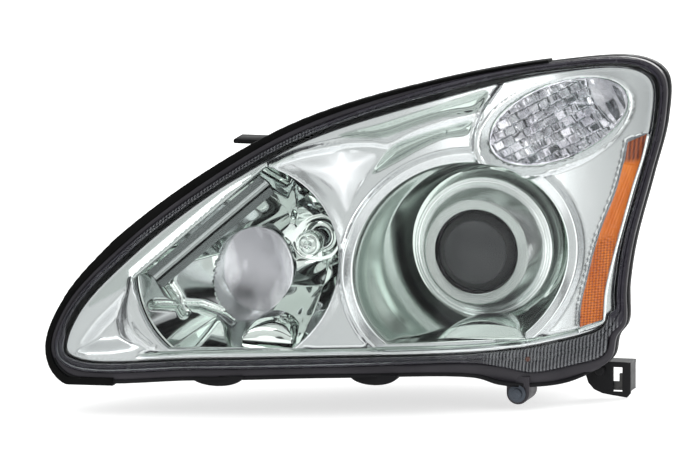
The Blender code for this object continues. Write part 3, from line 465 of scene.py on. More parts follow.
def walled(at, faces, front, wall):
    """A sheet with thickness: the (x, z) triangles at the front depths, and again behind them."""
    count = len(at)
    points = np.vstack([np.column_stack([at[:, 0], y, at[:, 1]]) for y in (front, front + wall)])
    sides = {}
    for a, b, c in faces:
        for edge in ((a, b), (b, c), (c, a)):
            sides[edge] = edge[::-1]
    border = [edge for edge, back in sides.items() if back not in sides]
    made = [list(f) for f in faces] + [[a + count, c + count, b + count] for a, b, c in faces]
    made += [[b, a, a + count, b + count] for a, b in border]
    return points, made


def faced(data, eye):
    """The data with its faces turned so that most of them look towards the eye point."""
    points, faces = np.asarray(data[0], float), data[1]
    total = 0.0
    for f in faces[:: max(1, len(faces) // 400)]:
        a, b, c = points[f[0]], points[f[1]], points[f[2]]
        total += np.sign(np.cross(b - a, c - a) @ (np.array(eye) - a))
    return (points, [f[::-1] for f in faces]) if total < 0 else (points, faces)


def skin(name, rows, eye, mat, body, slot, stands_for=None, sharp=SHARP_ANGLE, **ends):
    """A piece lofted over the rows, with its outer side towards the eye point."""
    return piece(name, *faced(lofted(rows, **ends), eye), mat, body, slot, stands_for, sharp)


def mark(obj, name, values):
    """One number for each point, for the material to read."""
    field = obj.data.attributes.new(name, "FLOAT", "POINT")
    field.data.foreach_set("value", np.asarray(values, np.float32))


def thicken(obj, wall):
    """A wall behind an open surface."""
    shell = obj.modifiers.new("wall", "SOLIDIFY")
    shell.thickness = wall * MM
    shell.offset = -1.0
    shell.use_even_offset = False
    return obj


def soften_node(obj, width):
    """Rounds a CAD node's edges and shades it smooth, without touching its points."""
    mesh = obj.data
    for name in ("custom_normal", "sharp_face"):
        if name in mesh.attributes:
            mesh.attributes.remove(mesh.attributes[name])
    weld = obj.modifiers.new("weld", "WELD")
    weld.merge_threshold = 0.00002
    edge = obj.modifiers.new("edge", "BEVEL")
    edge.width = width * MM
    edge.segments = 2
    edge.limit_method = "ANGLE"
    edge.angle_limit = math.radians(SHARP_ANGLE)
    edge.use_clamp_overlap = True
    split = obj.modifiers.new("split", "EDGE_SPLIT")
    split.split_angle = math.radians(SHARP_ANGLE)
    mesh.shade_smooth()


# ---------------------------------------------------------------- materials


class Nodes:
    """The node tree of a new material or world, with short calls for the nodes used here."""

    def __init__(self, name, world=False):
        self.owner = (bpy.data.worlds if world else bpy.data.materials).new(name)
        self.owner.use_nodes = True
        self.tree = self.owner.node_tree
        self.shader = self.tree.nodes["Background" if world else "Principled BSDF"]
        self.place = self.node("TexCoord").outputs["Generated" if world else "Object"]

    def feed(self, socket, value):
        """Links an output to the socket, or sets its value. Colours come without alpha."""
        if hasattr(value, "is_output"):
            self.tree.links.new(value, socket)
        else:
            socket.default_value = (*value, 1.0) if socket.type == "RGBA" else value

    def node(self, kind, inputs=None, **settings):
        made = self.tree.nodes.new("ShaderNode" + kind)
        for key, value in settings.items():
            setattr(made, key, value)
        for key, value in (inputs or {}).items():
            self.feed(made.inputs[key], value)
        return made

    def noise(self, scale, detail=4.0, stretch=(1, 1, 1)):
        spread = self.node("Mapping", {"Vector": self.place, "Scale": stretch})
        inputs = {"Vector": spread.outputs[0], "Scale": scale, "Detail": detail}
        return self.node("TexNoise", inputs).outputs["Fac"]

    def spread(self, value, low, high, start=0.3, end=0.7, **settings):
        """The value carried from the range start to end over to the range low to high."""
        inputs = {"Value": value, "From Min": start, "From Max": end, "To Min": low, "To Max": high}
        return self.node("MapRange", inputs, **settings).outputs["Result"]

    def drift(self, *noise):
        """Noise that fills the range 0 to 1."""
        return self.spread(self.noise(*noise), 0.0, 1.0)

    def band(self, value, low, high, soft):
        """1 where the value lies between low and high."""
        up = self.spread(value, 0.0, 1.0, low - soft, low, interpolation_type="SMOOTHSTEP")
        down = self.spread(value, 1.0, 0.0, high, high + soft, interpolation_type="SMOOTHSTEP")
        return self.calc("MULTIPLY", up, down)

    def calc(self, how, *values):
        return self.node("Math", dict(enumerate(values)), operation=how).outputs[0]

    def attribute(self, name):
        return self.node("Attribute", attribute_name=name).outputs["Fac"]

    def mix(self, share, first, second):
        """Two colours mixed."""
        return self.node("Mix", {0: share, 6: first, 7: second}, data_type="RGBA").outputs[2]

    def set(self, **values):
        """Feeds the shader's inputs by name."""
        for key, value in values.items():
            self.feed(self.shader.inputs[key.replace("_", " ")], value)

    def bump(self, height, strength, depth):
        made = self.node("Bump", {"Height": height, "Strength": strength, "Distance": depth * MM})
        self.set(Normal=made.outputs[0])

    def replace_shader(self, shader):
        """Shows this shader and drops the principled one."""
        self.tree.nodes.remove(self.shader)
        self.feed(self.tree.nodes["Material Output"].inputs["Surface"], shader.outputs[0])

    def part(self, axis):
        """The place along one axis, in metres."""
        return self.node("SeparateXYZ", {0: self.place}).outputs[axis]

    def wave(self, along, pitch):
        """A wave between -1 and 1 along the given value."""
        return self.calc("SINE", self.calc("MULTIPLY", along, 2 * math.pi / (pitch * MM)))

    def diagonal(self, way):
        """A wave across one diagonal of the X-Z plane, between -1 and 1."""
        return self.wave(self.calc(way, self.part(0), self.part(2)), REFLEX_PITCH)


def plastic(name, dark, light, rough, grain, relief, specular=0.5):
    """Moulded plastic or rubber: slow colour drift, fine grain, roughness that varies."""
    m = Nodes(name)
    m.set(Base_Color=m.mix(m.drift(18.0), dark, light))
    m.set(Roughness=m.spread(m.noise(60.0), rough - 0.08, rough + 0.1), Specular_IOR_Level=specular)
    m.bump(m.noise(grain, 2.0), 0.5, relief)
    return m.owner


def metal(name, dark, light, rough, grain, scale, relief, metallic=1.0, spots=0.0):
    """Plated or bare metal: stretched noise in roughness and relief gives brushing, or a faint ripple."""
    m = Nodes(name)
    tone = m.mix(m.drift(9.0, 3.0), dark, light)
    if spots:
        worn = m.spread(m.noise(140.0, 6.0), 0.0, spots, 0.55, 0.75)
        tone = m.mix(worn, tone, (0.20, 0.19, 0.17))
    m.set(Base_Color=tone, Metallic=metallic)
    m.set(Roughness=m.spread(m.noise(scale, 3.0, grain), rough * 0.75, rough * 1.3))
    m.bump(m.noise(scale, 2.0, grain), 0.35, relief)
    return m.owner


def clear(name, tint, share):
    """A clear moulding: it lets light straight through, with a mirror share that grows at grazing angles."""
    m = Nodes(name)
    ripple = m.node("Bump", {"Height": m.noise(30.0), "Strength": 0.2, "Distance": 0.02 * MM}).outputs[0]
    through = m.node("BsdfTransparent", {"Color": tint})
    gloss = m.node("BsdfGlossy", {"Color": (0.95, 0.97, 1.0), "Roughness": 0.02, "Normal": ripple})
    edge = m.node("Fresnel", {"IOR": 1.45, "Normal": ripple})
    mirror = m.calc("MULTIPLY", edge.outputs[0], share)
    m.replace_shader(m.node("MixShader", {0: mirror, 1: through.outputs[0], 2: gloss.outputs[0]}))
    return m.owner


def rim_material():
    """The lens's edge over the black channel: dark purple-grey, with pale highlights painted along the fine
    fluting in two stretches.
    """
    m = Nodes("lens_rim_band")
    plain = m.mix(m.drift(60.0, 3.0), (0.018, 0.016, 0.023), (0.032, 0.029, 0.040))
    # Pale stripes along the fluting: painted highlights.
    stripes = m.spread(m.wave(m.part(0), 2.5), 0.0, 1.0, -0.5, 0.9)
    pale_flute_highlights = m.mix(stripes, (0.012, 0.012, 0.016), (0.17, 0.17, 0.185))
    m.set(Base_Color=m.mix(m.attribute("fluted"), plain, pale_flute_highlights), Specular_IOR_Level=0.3)
    m.set(Roughness=m.spread(m.noise(120.0), 0.2, 0.3))
    m.bump(m.noise(500.0, 2.0), 0.2, 0.01)
    return m.owner


def amber_material():
    """Amber acrylic: redder and darker at the top, with a reflex grid below, and a faint painted light given
    off in its own colour.
    """
    m = Nodes("amber_acrylic")
    height = m.part(2)
    lower = m.mix(m.drift(90.0, 3.0, (1, 1, 0.2)), (0.50, 0.10, 0.008), (0.68, 0.18, 0.016))
    stripes = m.spread(m.wave(m.part(0), 3.0), 0.0, 1.0, -0.8, 0.8)
    upper = m.mix(stripes, (0.11, 0.022, 0.008), (0.30, 0.062, 0.012))
    grid = m.calc("MULTIPLY", m.diagonal("ADD"), m.diagonal("SUBTRACT"))
    below = m.spread(height, 1.0, 0.0, 0.004, 0.014)
    foot = m.calc("MULTIPLY", m.spread(grid, 0.0, 0.75, -0.35, 0.35), below)
    lower = m.mix(foot, lower, (0.20, 0.030, 0.004))
    tone = m.mix(m.spread(height, 0.0, 1.0, 0.067, 0.071), lower, upper)
    m.set(Base_Color=tone, Roughness=m.spread(m.noise(80.0), 0.16, 0.3), Specular_IOR_Level=0.4)
    # Painted light: the marker gives off a little light though it is no lit lamp.
    m.set(Emission_Color=tone, Emission_Strength=0.16)
    m.bump(m.noise(500.0, 2.0), 0.3, 0.03)
    return m.owner


def bezel_material():
    """Metallised bezel: satin silver on its lands, polished in its recesses and painted darker and greener
    there as shade and reflection, with a painted highlight on the star panel.
    """
    m = Nodes("bezel_silver")
    polish_and_shade = m.attribute("polish_and_shade")
    slow = m.drift(8.0, 3.0)
    satin = m.mix(slow, (0.70, 0.705, 0.725), (0.785, 0.785, 0.805))
    # Darker, greener tone of the polished recesses: painted shade and reflection.
    bright = m.mix(slow, (0.38, 0.43, 0.405), (0.50, 0.55, 0.525))
    grain = m.noise(500.0, 3.0)
    m.set(Base_Color=m.mix(polish_and_shade, satin, bright), Metallic=1.0)
    # Emission here is a painted highlight on the star panel, not a lamp.
    m.set(Emission_Color=(0.97, 0.96, 1.0), Emission_Strength=m.attribute("star_highlight"))
    satin_rough, bright_rough = m.spread(grain, 0.17, 0.25), m.spread(grain, 0.05, 0.09)
    rough = m.node("Mix", {0: polish_and_shade, 2: satin_rough, 3: bright_rough}, data_type="FLOAT")
    m.set(Roughness=rough.outputs[0])
    m.bump(grain, 0.25, 0.003)
    return m.owner


def projector_glass():
    """The projector's lens: nearly black over its dark chamber, with a paler disc in the middle."""
    m = Nodes("projector_glass")
    axis = (LOW_AXIS[0] * MM, 0.0, LOW_AXIS[1] * MM)
    offset = m.node("VectorMath", {0: m.place, 1: axis}, operation="SUBTRACT")
    flat = m.node("VectorMath", {0: offset.outputs[0], 1: (1.0, 0.0, 1.0)}, operation="MULTIPLY")
    reach = m.node("VectorMath", {0: flat.outputs[0]}, operation="LENGTH").outputs["Value"]
    clouds = m.mix(m.drift(45.0, 3.0, (1, 1, 0.4)), (0.022, 0.022, 0.024), (0.05, 0.05, 0.053))
    tone = m.mix(m.spread(reach, 0.0, 1.0, 0.0255, 0.0275), clouds, (0.003, 0.003, 0.0035))
    m.set(Base_Color=tone, Roughness=m.spread(m.noise(30.0), 0.06, 0.13), Specular_IOR_Level=0.16)
    m.bump(m.noise(60.0, 2.0), 0.2, 0.02)
    return m.owner


def shroud_material():
    """Satin plating, darker on the ring that faces forward."""
    m = Nodes("shroud_silver")
    slow = m.drift(9.0, 3.0)
    cone = m.mix(slow, (0.82, 0.84, 0.84), (0.92, 0.93, 0.93))
    ring = m.mix(slow, (0.34, 0.36, 0.35), (0.48, 0.50, 0.49))
    m.set(Base_Color=m.mix(m.spread(m.part(1), 1.0, 0.0, -0.1396, -0.1386), cone, ring), Metallic=1.0)
    m.set(Roughness=m.spread(m.noise(400.0, 3.0), 0.18, 0.26))
    m.bump(m.noise(400.0, 2.0), 0.35, 0.004)
    return m.owner


def dish_material():
    """Pale plating with soft, upright, darker patches."""
    m = Nodes("dish_chrome")
    patches = m.spread(m.noise(38.0, 3.0, (1, 1, 0.4)), 0.0, 1.0, 0.42, 0.62)
    m.set(Base_Color=m.mix(patches, (0.40, 0.39, 0.42), (0.76, 0.75, 0.79)), Metallic=1.0)
    m.set(Roughness=m.spread(m.noise(60.0), 0.16, 0.26))
    m.bump(m.noise(30.0, 2.0), 0.35, 0.03)
    return m.owner


def prism_material():
    """The turn signal's inner lens: purple-grey acrylic, half mirror and half clear."""
    m = Nodes("prism_acrylic")
    tone = m.mix(m.drift(70.0, 2.0), (0.40, 0.38, 0.43), (0.94, 0.91, 0.96))
    gloss = m.node("BsdfGlossy", {"Color": tone, "Roughness": 0.05})
    through = m.node("BsdfTransparent", {"Color": (0.86, 0.84, 0.90)})
    share = m.spread(m.noise(40.0), 0.45, 0.68)
    m.replace_shader(m.node("MixShader", {0: share, 1: through.outputs[0], 2: gloss.outputs[0]}))
    return m.owner


# Plastics: name, dark and light colour, roughness, grain, relief and specular level.
PLASTICS = {
    "housing": (
        "housing_polypropylene", (0.004, 0.004, 0.005), (0.008, 0.008, 0.009), 0.5, 700.0, 0.06, 0.14,
    ),
    "flange": ("flange_plastic", (0.020, 0.018, 0.023), (0.034, 0.031, 0.038), 0.42, 700.0, 0.05, 0.3),
    "rubber": ("seal_rubber", (0.002, 0.002, 0.002), (0.004, 0.004, 0.004), 0.62, 1200.0, 0.06, 0.08),
    "sealant": ("butyl_sealant", (0.02, 0.02, 0.02), (0.04, 0.04, 0.04), 0.8, 300.0, 0.2),
    "black": ("black_nylon", (0.004, 0.004, 0.005), (0.009, 0.009, 0.010), 0.42, 900.0, 0.05, 0.16),
    "grey": ("grey_nylon", (0.09, 0.092, 0.095), (0.14, 0.142, 0.145), 0.5, 900.0, 0.05),
    "nylon": ("white_nylon", (0.62, 0.60, 0.54), (0.74, 0.72, 0.67), 0.42, 600.0, 0.03),
}
# Metals: name, dark and light colour, roughness, grain's stretch and scale, relief, metallic and spots.
EVEN, BRUSHED = (1, 1, 1), (1, 4, 1)
METALS = {
    "black_steel": (
        "blackened_steel", (0.035, 0.035, 0.036), (0.075, 0.074, 0.072), 0.38, BRUSHED, 250.0, 0.03, 0.7,
    ),
    "silver": ("satin_silver", (0.80, 0.815, 0.825), (0.885, 0.895, 0.905), 0.20, EVEN, 500.0, 0.004),
    "chrome": ("vapour_chrome", (0.74, 0.79, 0.765), (0.86, 0.90, 0.88), 0.035, EVEN, 40.0, 0.02),
    "well": ("well_chrome", (0.68, 0.745, 0.71), (0.80, 0.85, 0.82), 0.13, EVEN, 40.0, 0.03),
    # The trough's chrome is a darker copy of the reflector's: painted shade.
    "trough": ("trough_chrome", (0.36, 0.375, 0.38), (0.50, 0.52, 0.52), 0.12, EVEN, 30.0, 0.03),
    "brown": ("bronzed_screw", (0.10, 0.045, 0.035), (0.20, 0.10, 0.08), 0.35, BRUSHED, 250.0, 0.02, 0.6),
    "bolt": ("grey_bolt", (0.05, 0.06, 0.075), (0.10, 0.11, 0.13), 0.3, BRUSHED, 250.0, 0.02, 0.8),
    "steel": ("zinc_steel", (0.42, 0.41, 0.38), (0.60, 0.59, 0.56), 0.32, (1, 6, 1), 250.0, 0.02, 1.0, 0.4),
    "aluminium": ("cast_aluminium", (0.48, 0.49, 0.50), (0.62, 0.63, 0.64), 0.45, EVEN, 350.0, 0.06),
}


def make_materials():
    mats = {key: plastic(*row) for key, row in PLASTICS.items()}
    mats.update({key: metal(*row) for key, row in METALS.items()})
    mats.update({
        "pale_chrome": dish_material(),
        "bezel": bezel_material(),
        "rim": rim_material(),
        "amber": amber_material(),
        "projector": projector_glass(),
        "prism": prism_material(),
        "shroud": shroud_material(),
        "lens": clear("clear_polycarbonate", (0.985, 0.995, 0.99), 0.28),
        "bulb": clear("bulb_glass", (0.93, 0.94, 0.94), 1.0),
    })
    return mats


# ---------------------------------------------------------------- housing, lens and seals


def make_outer_lens(mats):
    """The clear front, with a rim that turns back as a skirt."""
    edge, inner = curve_through(LENS_EDGE, SPAN_STEPS), curve_through(BEZEL_EDGE, SPAN_STEPS)
    rows = [on_lens(edge, LENS_SKIRT), on_lens(edge, 5.0), on_lens(edge, 2.6)]
    for share, behind in ((0.05, 1.3), (0.14, 0.6), (0.3, 0.25), (0.6, 0.05)):
        rows.append(on_lens(edge * (1 - share) + inner * share, behind))
    rows += [on_lens(MIDDLE + (inner - MIDDLE) * share, 0.0) for share in np.linspace(1.0, 0.03, 22)]
    lens = skin("outer_lens_clear", rows, AHEAD, mats["lens"], LAMP, "clear_lens", "outer_lens", back="fan")
    thicken(lens, LENS_WALL)


def make_lens_rim(mats):
    """The moulded band round the lens: two lands with a groove between them, fluted in two stretches."""
    lens, housing = curve_through(LENS_EDGE, 10), curve_through(HOUSING_EDGE, 10)
    out = 0.85 * rise(lens[:, 0] + 60.0, 140.0) * rise(lens[:, 1] + 75.0, 25.0)
    starts = lens + (housing - lens) * out[:, None]
    border = curve_through(BEZEL_EDGE, 10)
    edge = resampled(starts, 0.55)
    nearest = np.array([np.argmin(np.hypot(*(starts - p).T)) for p in edge])
    inner = border[nearest]
    for _ in range(24):
        inner = (np.roll(inner, 1, axis=0) + inner + np.roll(inner, -1, axis=0)) / 3
    inner += (edge - inner) * (0.42 * rise(edge[:, 1] + 62.0, 12.0))[:, None]
    upper_left = rise(-50.0 - edge[:, 0], 20.0) * rise(edge[:, 1] - 12.0, 15.0)
    lower_right = rise(edge[:, 0] - 80.0, 15.0) * rise(-60.0 - edge[:, 1], 6.0)
    fluted = np.maximum(0.7 * upper_left, lower_right)
    flute = np.where(np.arange(len(edge)) % 6 < 3, -0.35, 0.35) * fluted
    section = (
        (0.0, 6.5), (0.02, 4.4), (0.07, 3.7), (0.13, 3.5), (0.37, 3.6), (0.44, 4.0), (0.50, 5.2), (0.56, 5.2),
        (0.62, 4.1), (0.69, 3.8), (0.86, 3.8), (0.93, 4.4), (0.97, 5.6), (1.0, 8.5), (0.5, 9.5),
    )
    rows = []
    for share, behind in section:
        rows.append(on_lens(edge + (inner - edge) * share, behind + flute * (0.1 < share < 0.9)))
    band = skin("lens_rim_band", rows, AHEAD, mats["rim"], LAMP, "clear_lens", sharp=25, ring=True)
    mark(band, "fluted", np.tile(fluted, len(section)))
    y = float(lens_depth(*RIM_SCREW)) + 2.6
    profile = [(0, y), (1.7, y), (2.1, y + 0.6), (2.1, y + 4), (0, y + 4)]
    head = turned(rounded(profile, 0.3, 2), RIM_SCREW, 32)
    piece("lens_rim_screw", *head, mats["brown"], LAMP, "clear_lens")


def make_flange(mats):
    """The smooth lip that closes the housing's channel outside the lens, with the lower mount's eye."""
    lens, housing = curve_through(LENS_EDGE, SPAN_STEPS), curve_through(HOUSING_EDGE, SPAN_STEPS)
    section = (
        (0.0, 9.0), (0.1, 7.4), (0.35, 6.8), (0.75, 6.8), (0.95, 7.6), (1.0, 8.8), (1.0, 12.0), (0.0, 12.0),
    )
    rows = [level_with(lens + (housing - lens) * share, lens, behind) for share, behind in section]
    flange = faced(lofted(rows, ring=True), AHEAD)
    x, z = LOWER_BOSS
    front, back = LOWER_BOSS_Y
    turns = np.radians(np.arange(180, 361, 9))
    around = [(x + 9.6 * math.cos(turn), z + 9.6 * math.sin(turn)) for turn in turns]
    outline = resampled(np.array(around + [(x + 9.6, z + 14.0), (x - 9.6, z + 14.0)]), 1.0)
    at, faces = triangulated(outline, [circle(LOWER_BOSS, 5.4, 48)], [], 1.4)
    crown = 0.8 * rise(1.6 - depth_in(outline, at), 1.6)
    eye = walled(at, faces, front + crown, back - front - 0.8)
    piece("housing_flange", *merged(flange, eye), mats["flange"], LAMP, "housing_plastic", sharp=40)


def rear_depth(x):
    return -REAR_STEP * (1 - rise(np.asarray(x, float) - REAR_STEP_FROM, REAR_STEP_TO - REAR_STEP_FROM))


def rear_loop(front):
    """The rear wall's outline: a rounded rectangle with one point for each point of the front loop."""
    turns = np.arctan2(front[:, 1] - REAR_MIDDLE[1], front[:, 0] - REAR_MIDDLE[0])
    across = np.abs(np.cos(turns) / REAR_HALF[0]) ** REAR_SQUARENESS
    up = np.abs(np.sin(turns) / REAR_HALF[1]) ** REAR_SQUARENESS
    reach = (across + up) ** (-1 / REAR_SQUARENESS)
    return np.column_stack([REAR_MIDDLE[0] + reach * np.cos(turns), REAR_MIDDLE[1] + reach * np.sin(turns)])


def make_housing(mats):
    """The shell from the channel round the lens back to the rear wall, the wall, and what stands on it."""
    edge, inner = curve_through(HOUSING_EDGE, SPAN_STEPS), curve_through(BEZEL_EDGE, SPAN_STEPS)
    rear = rear_loop(inner)
    front_rim = level_with(edge * 0.6 + inner * 0.4, edge, 22.0)
    rear_rim = np.column_stack([rear[:, 0], rear_depth(rear[:, 0]), rear[:, 1]])
    rows = [level_with(edge, edge, 8.0), level_with(edge, edge, 21.0)]
    rows += [level_with(edge * 0.97 + inner * 0.03, edge, 22.0), front_rim]
    steps = np.linspace(0, 1, 22)[1:]
    across = np.interp(steps, (0, 0.35, 0.8, 1.0), (0.0, 0.04, 0.6, 1.0))
    back = np.interp(steps, (0, 0.35, 0.8, 1.0), (0.0, 0.35, 0.88, 1.0))
    for _ in range(3):
        across[1:-1] = (across[:-2] + across[1:-1] + across[2:]) / 3
        back[1:-1] = (back[:-2] + back[1:-1] + back[2:]) / 3
    for a, b in zip(across, back):
        rows.append(front_rim + (rear_rim - front_rim) * (a, b, a))
    points, faces = faced(lofted(rows), (MIDDLE[0], -150, MIDDLE[1]))
    shell = (points, [f[::-1] for f in faces])
    body = piece("housing_shell", *shell, mats["housing"], LAMP, "housing_plastic", "housing")
    thicken(body, HOUSING_WALL)
    outline = rear * 0.997 + np.array(REAR_MIDDLE) * 0.003
    holes = [circle(axis, hole) for axis, hole, _, _ in PORTS] + [circle(at, 3.6, 24) for at in AIM_SCREWS]
    at, faces = triangulated(outline, holes, [], 5.0)
    wall = walled(at, [f[::-1] for f in faces], rear_depth(at[:, 0]) - HOUSING_WALL, HOUSING_WALL)
    piece("housing_rear_wall", *wall, mats["housing"], LAMP, "housing_plastic")
    make_rear_features(mats)
    make_mount_features(mats)
    make_flange(mats)


def make_rear_features(mats):
    """The collars, screw bosses, datum pad and ribs on the rear wall."""
    details = [block((-12, -24, -14), (12, 0, 14), 1.2)]
    for axis, hole, collar, end in PORTS:
        start = float(rear_depth(axis[0])) - 8
        profile = [(hole, start), (collar, start), (collar, end), (hole, end)]
        details.append(turned(rounded(profile, 0.8, 3), axis))
    for x, z in AIM_SCREWS + ((PIVOT[0], PIVOT[2]),):
        wall_y = float(rear_depth(x))
        profile = [(3.7, wall_y - 9), (8, wall_y - 9), (8, wall_y + 6), (3.7, wall_y + 6)]
        details.append(turned(rounded(profile, 0.8, 3), (x, z), 48))
    for x, low, high in UPRIGHT_RIBS:
        wall_y = float(rear_depth(x))
        details.append(block((x - 1.2, wall_y - 2, low), (x + 1.2, wall_y + 4, high), 0.4))
    for low, high, z in LEVEL_RIBS:
        near, far = float(rear_depth((low + high) / 2)) - 3, float(rear_depth(high)) + 3
        details.append(block((low, near, z - 1.2), (high, far, z + 1.2), 0.4))
    piece("housing_rear_features", *merged(*details), mats["housing"], LAMP, "housing_plastic")


def make_mount_features(mats):
    """The upper tab, the bracket's rib with its spring clip, and the locators under the flange."""
    spring = [block((172.8, -89.7, -121), (185, -87.9, -113.5), 0.4)]
    spring.append(block((178.6, -89.7, -114), (185, -87.9, -106.5), 0.4))
    piece("bumper_clip_spring", *merged(*spring), mats["black_steel"], LAMP, "steel", "bumper_clip")
    tab = block((-143, -140, 84.2), (-78, -112, 88.2), 1.0)
    rib = block((146, -91, -96.2), (166, -74, -82), 0.8)
    parts = [tab, rib, block((-243, -262, -104), (-222, -250, -97), 1.0)]
    for start, end in ((-148, -102), (-20, 22)):
        turns = np.linspace(math.pi, 2 * math.pi, 24)
        middle, half = np.array(((start + end) / 2, -92.0)), (end - start) / 2
        arch = middle + np.column_stack([half * np.cos(turns), 9.0 * np.sin(turns)])
        depth = lens_depth(*middle)
        small, less = arch * 0.98 + middle * 0.02, arch * 0.96 + middle * 0.04
        rows = [at_depth(small, depth + 9.0), at_depth(arch, depth + 9.6)]
        rows += [at_depth(arch, depth + 20), at_depth(less, depth + 21)]
        parts.append(lofted(rows, front="fan", back="fan"))
    piece("housing_mount_features", *merged(*parts), mats["housing"], LAMP, "housing_plastic")


def make_hood_seal(mats):
    """The rubber strip round the inboard tip and along the top: a soft bead with a lip."""
    loop = curve_through(HOUSING_EDGE, SPAN_STEPS)
    covered = loop[: (len(SEAL_WIDTHS) - 1) * SPAN_STEPS + 1]
    foot = loop[0] + (loop[-SPAN_STEPS] - loop[0]) * 0.35
    path = resampled(np.vstack([[foot], covered]), 2.0, closed=False)
    along = np.gradient(path, axis=0)
    along /= np.linalg.norm(along, axis=1)[:, None]
    side = np.column_stack([-along[:, 1], along[:, 0]])
    nearest = np.array([np.argmin(np.hypot(*(covered - p).T)) for p in path])
    width = np.interp(nearest / SPAN_STEPS, range(len(SEAL_WIDTHS)), SEAL_WIDTHS)
    section = (
        (0.0, 6.2), (0.35, 4.9), (0.62, 4.0), (0.86, 4.4), (0.98, 6.0), (1.0, 9.0), (1.0, 15.0), (0.94, 18.0),
        (0.3, 20.0), (0.0, 20.0),
    )
    rows = []
    for reach, behind in section:
        out = reach * width - 0.6 * (reach == 0)
        rows.append(level_with(path + side * out[:, None], path, behind))
    sections = list(np.array(rows).transpose(1, 0, 2))
    ends = {"front": "fan", "back": "fan"}
    skin("hood_seal_strip", sections, AHEAD, mats["rubber"], LAMP, "seal_rubber", "hood_seal", sharp=50, **ends)


# ---------------------------------------------------------------- bezel and amber marker


def bezel_relief(at, loops):
    """How far the bezel's face lies behind (+) or before (-) its base surface, at (x, z) rows."""
    relief = opening_lips(at, loops, panel_relief(at, loops))
    relief = border_lips(at, loops, turn_relief(at, loops, relief))
    return relief + 9.0 * rise(depth_in(loops["amber"], at) + 0.4, 0.8)


def star_arms(at):
    """Each row's distance to the nearest arm of the star panel."""
    return np.min([distance(np.array([STAR_MIDDLE, tip]), at, False) for tip in STAR_TIPS], axis=0)


def panel_relief(at, loops):
    """The recesses over the openings, the swoosh, the star and the corner panel with its ridge."""
    relief = 2.2 * rise(depth_in(loops["upper"], at), 6.0)
    relief += 4.2 * rise(depth_in(loops["side"], at), 6.0)
    relief -= 2.6 * ridge(distance(loops["swoosh"], at, False), 2.6)
    relief += rise(depth_in(loops["star"], at), 2.5) * (1.4 - 1.1 * ridge(star_arms(at), 9.0))
    relief += 7.0 * rise(depth_in(loops["corner"], at), 14.0)
    return relief - 2.2 * ridge(distance(loops["band"], at, False), 2.4)


def opening_lips(at, loops, relief):
    """Adds the stepped lip round the low-beam opening and the rolled one round the high-beam opening."""
    ring = -depth_in(loops["low"], at)
    lip = np.interp(ring, (0, 0.8, 1.7, 6.4, 7.4, 8.3, 11.5), (1.6, 0.1, -0.6, -3.2, -3.6, -3.2, 0.0))
    relief = np.where(ring < 11.5, np.minimum(relief, lip + relief * rise(ring - 7.4, 4.0)), relief)
    return relief + np.interp(-depth_in(loops["high"], at), (0, 0.8, 2.2, 9.0), (1.8, -0.8, -1.6, 0.0))


def turn_relief(at, loops, relief):
    """Adds the plateau that carries the turn signal, and the crest and bowl round it."""
    plateau = rise(depth_in(loops["plateau"], at), 3.0)
    relief = relief * (1 - plateau) - 5.5 * plateau * rise(176.0 - at[:, 0], 60.0)
    crest = depth_in(loops["crest"], at)
    wide = rise(-depth_in(loops["turn"], at) + np.maximum(crest, 0), 6.0)
    return relief - 1.1 * ridge(crest, 1.3) * wide + 5.5 * rise(crest, 8.0)


def border_lips(at, loops, relief):
    """Adds the fine lip along the border, and the lip and groove along the foot."""
    border = depth_in(loops["border"], at)
    foot = at_foot(at)
    relief = relief + np.interp(border, (0, 1.0, 2.6, 4.2), (0.8, -0.4, -0.3, 0.0)) * (1 - foot)
    foot = foot * rise(8.0 - border, 1.0)
    foot_lip = np.interp(border, (0, 1.2, 3.6, 5.0, 6.4, 8.0), (1.2, -0.8, -1.0, 2.0, 2.0, 0.0))
    return relief * (1 - foot) + foot_lip * foot


def at_foot(at):
    """1 along the bezel's lower border, under the two openings and the side marker."""
    above = at[:, 1] - np.interp(at[:, 0], (-190, 89, 123, 176), (-66, -66, -62, -52))
    return rise(at[:, 0] + 195.0, 10.0) * rise(-above, 2.0)


def lower_groove(at, loops):
    """1 in the groove above the lip along the bezel's foot."""
    border = depth_in(loops["border"], at)
    return at_foot(at) * rise(border - 3.8, 0.8) * rise(7.4 - border, 0.8)


def bezel_polish_and_shade(at, loops):
    """1 where the bezel is polished and its colour painted darker as shade: in its recesses and groove, partly
    along the high-beam opening.
    """
    border = depth_in(loops["border"], at)
    above = at[:, 1] - np.interp(at[:, 0], (-235, -200, -105, -80), (-40, -19, 67, 82))
    chord = (at[:, 0] < -75) * rise(above, 2.0) * rise(border - 2.5, 1.5)
    upper, side = (rise(depth_in(loops[name], at) + 1.0, 2.0) for name in ("upper", "side"))
    well = rise(1.2 + depth_in(loops["low"], at), 1.0)
    return np.max([0.5 * chord, upper, side, lower_groove(at, loops), 0.6 * well], axis=0)


def amber_outline(grow=0.0):
    """The side marker's blade, smooth along both long sides."""
    outboard = curve_through(AMBER_OUTBOARD[1:], 5, closed=False) + (grow, 0)
    inboard = curve_through(AMBER_INBOARD, 5, closed=False) - (grow, 0)
    return np.vstack([outboard, inboard, np.array(AMBER_OUTBOARD[:1]) - (grow * 0.5, -grow)])


def star_painted_highlight(at, loops):
    """The strength of the painted highlight on the star panel's middle and arms, given off as emission."""
    reach = np.hypot(*(at - STAR_MIDDLE).T)
    streaks = ridge(star_arms(at), 2.4) * np.exp(-reach / 22.0)
    return rise(depth_in(loops["star"], at), 2.0) * (0.5 * ridge(reach, 12.0) + 0.6 * streaks + 0.14)


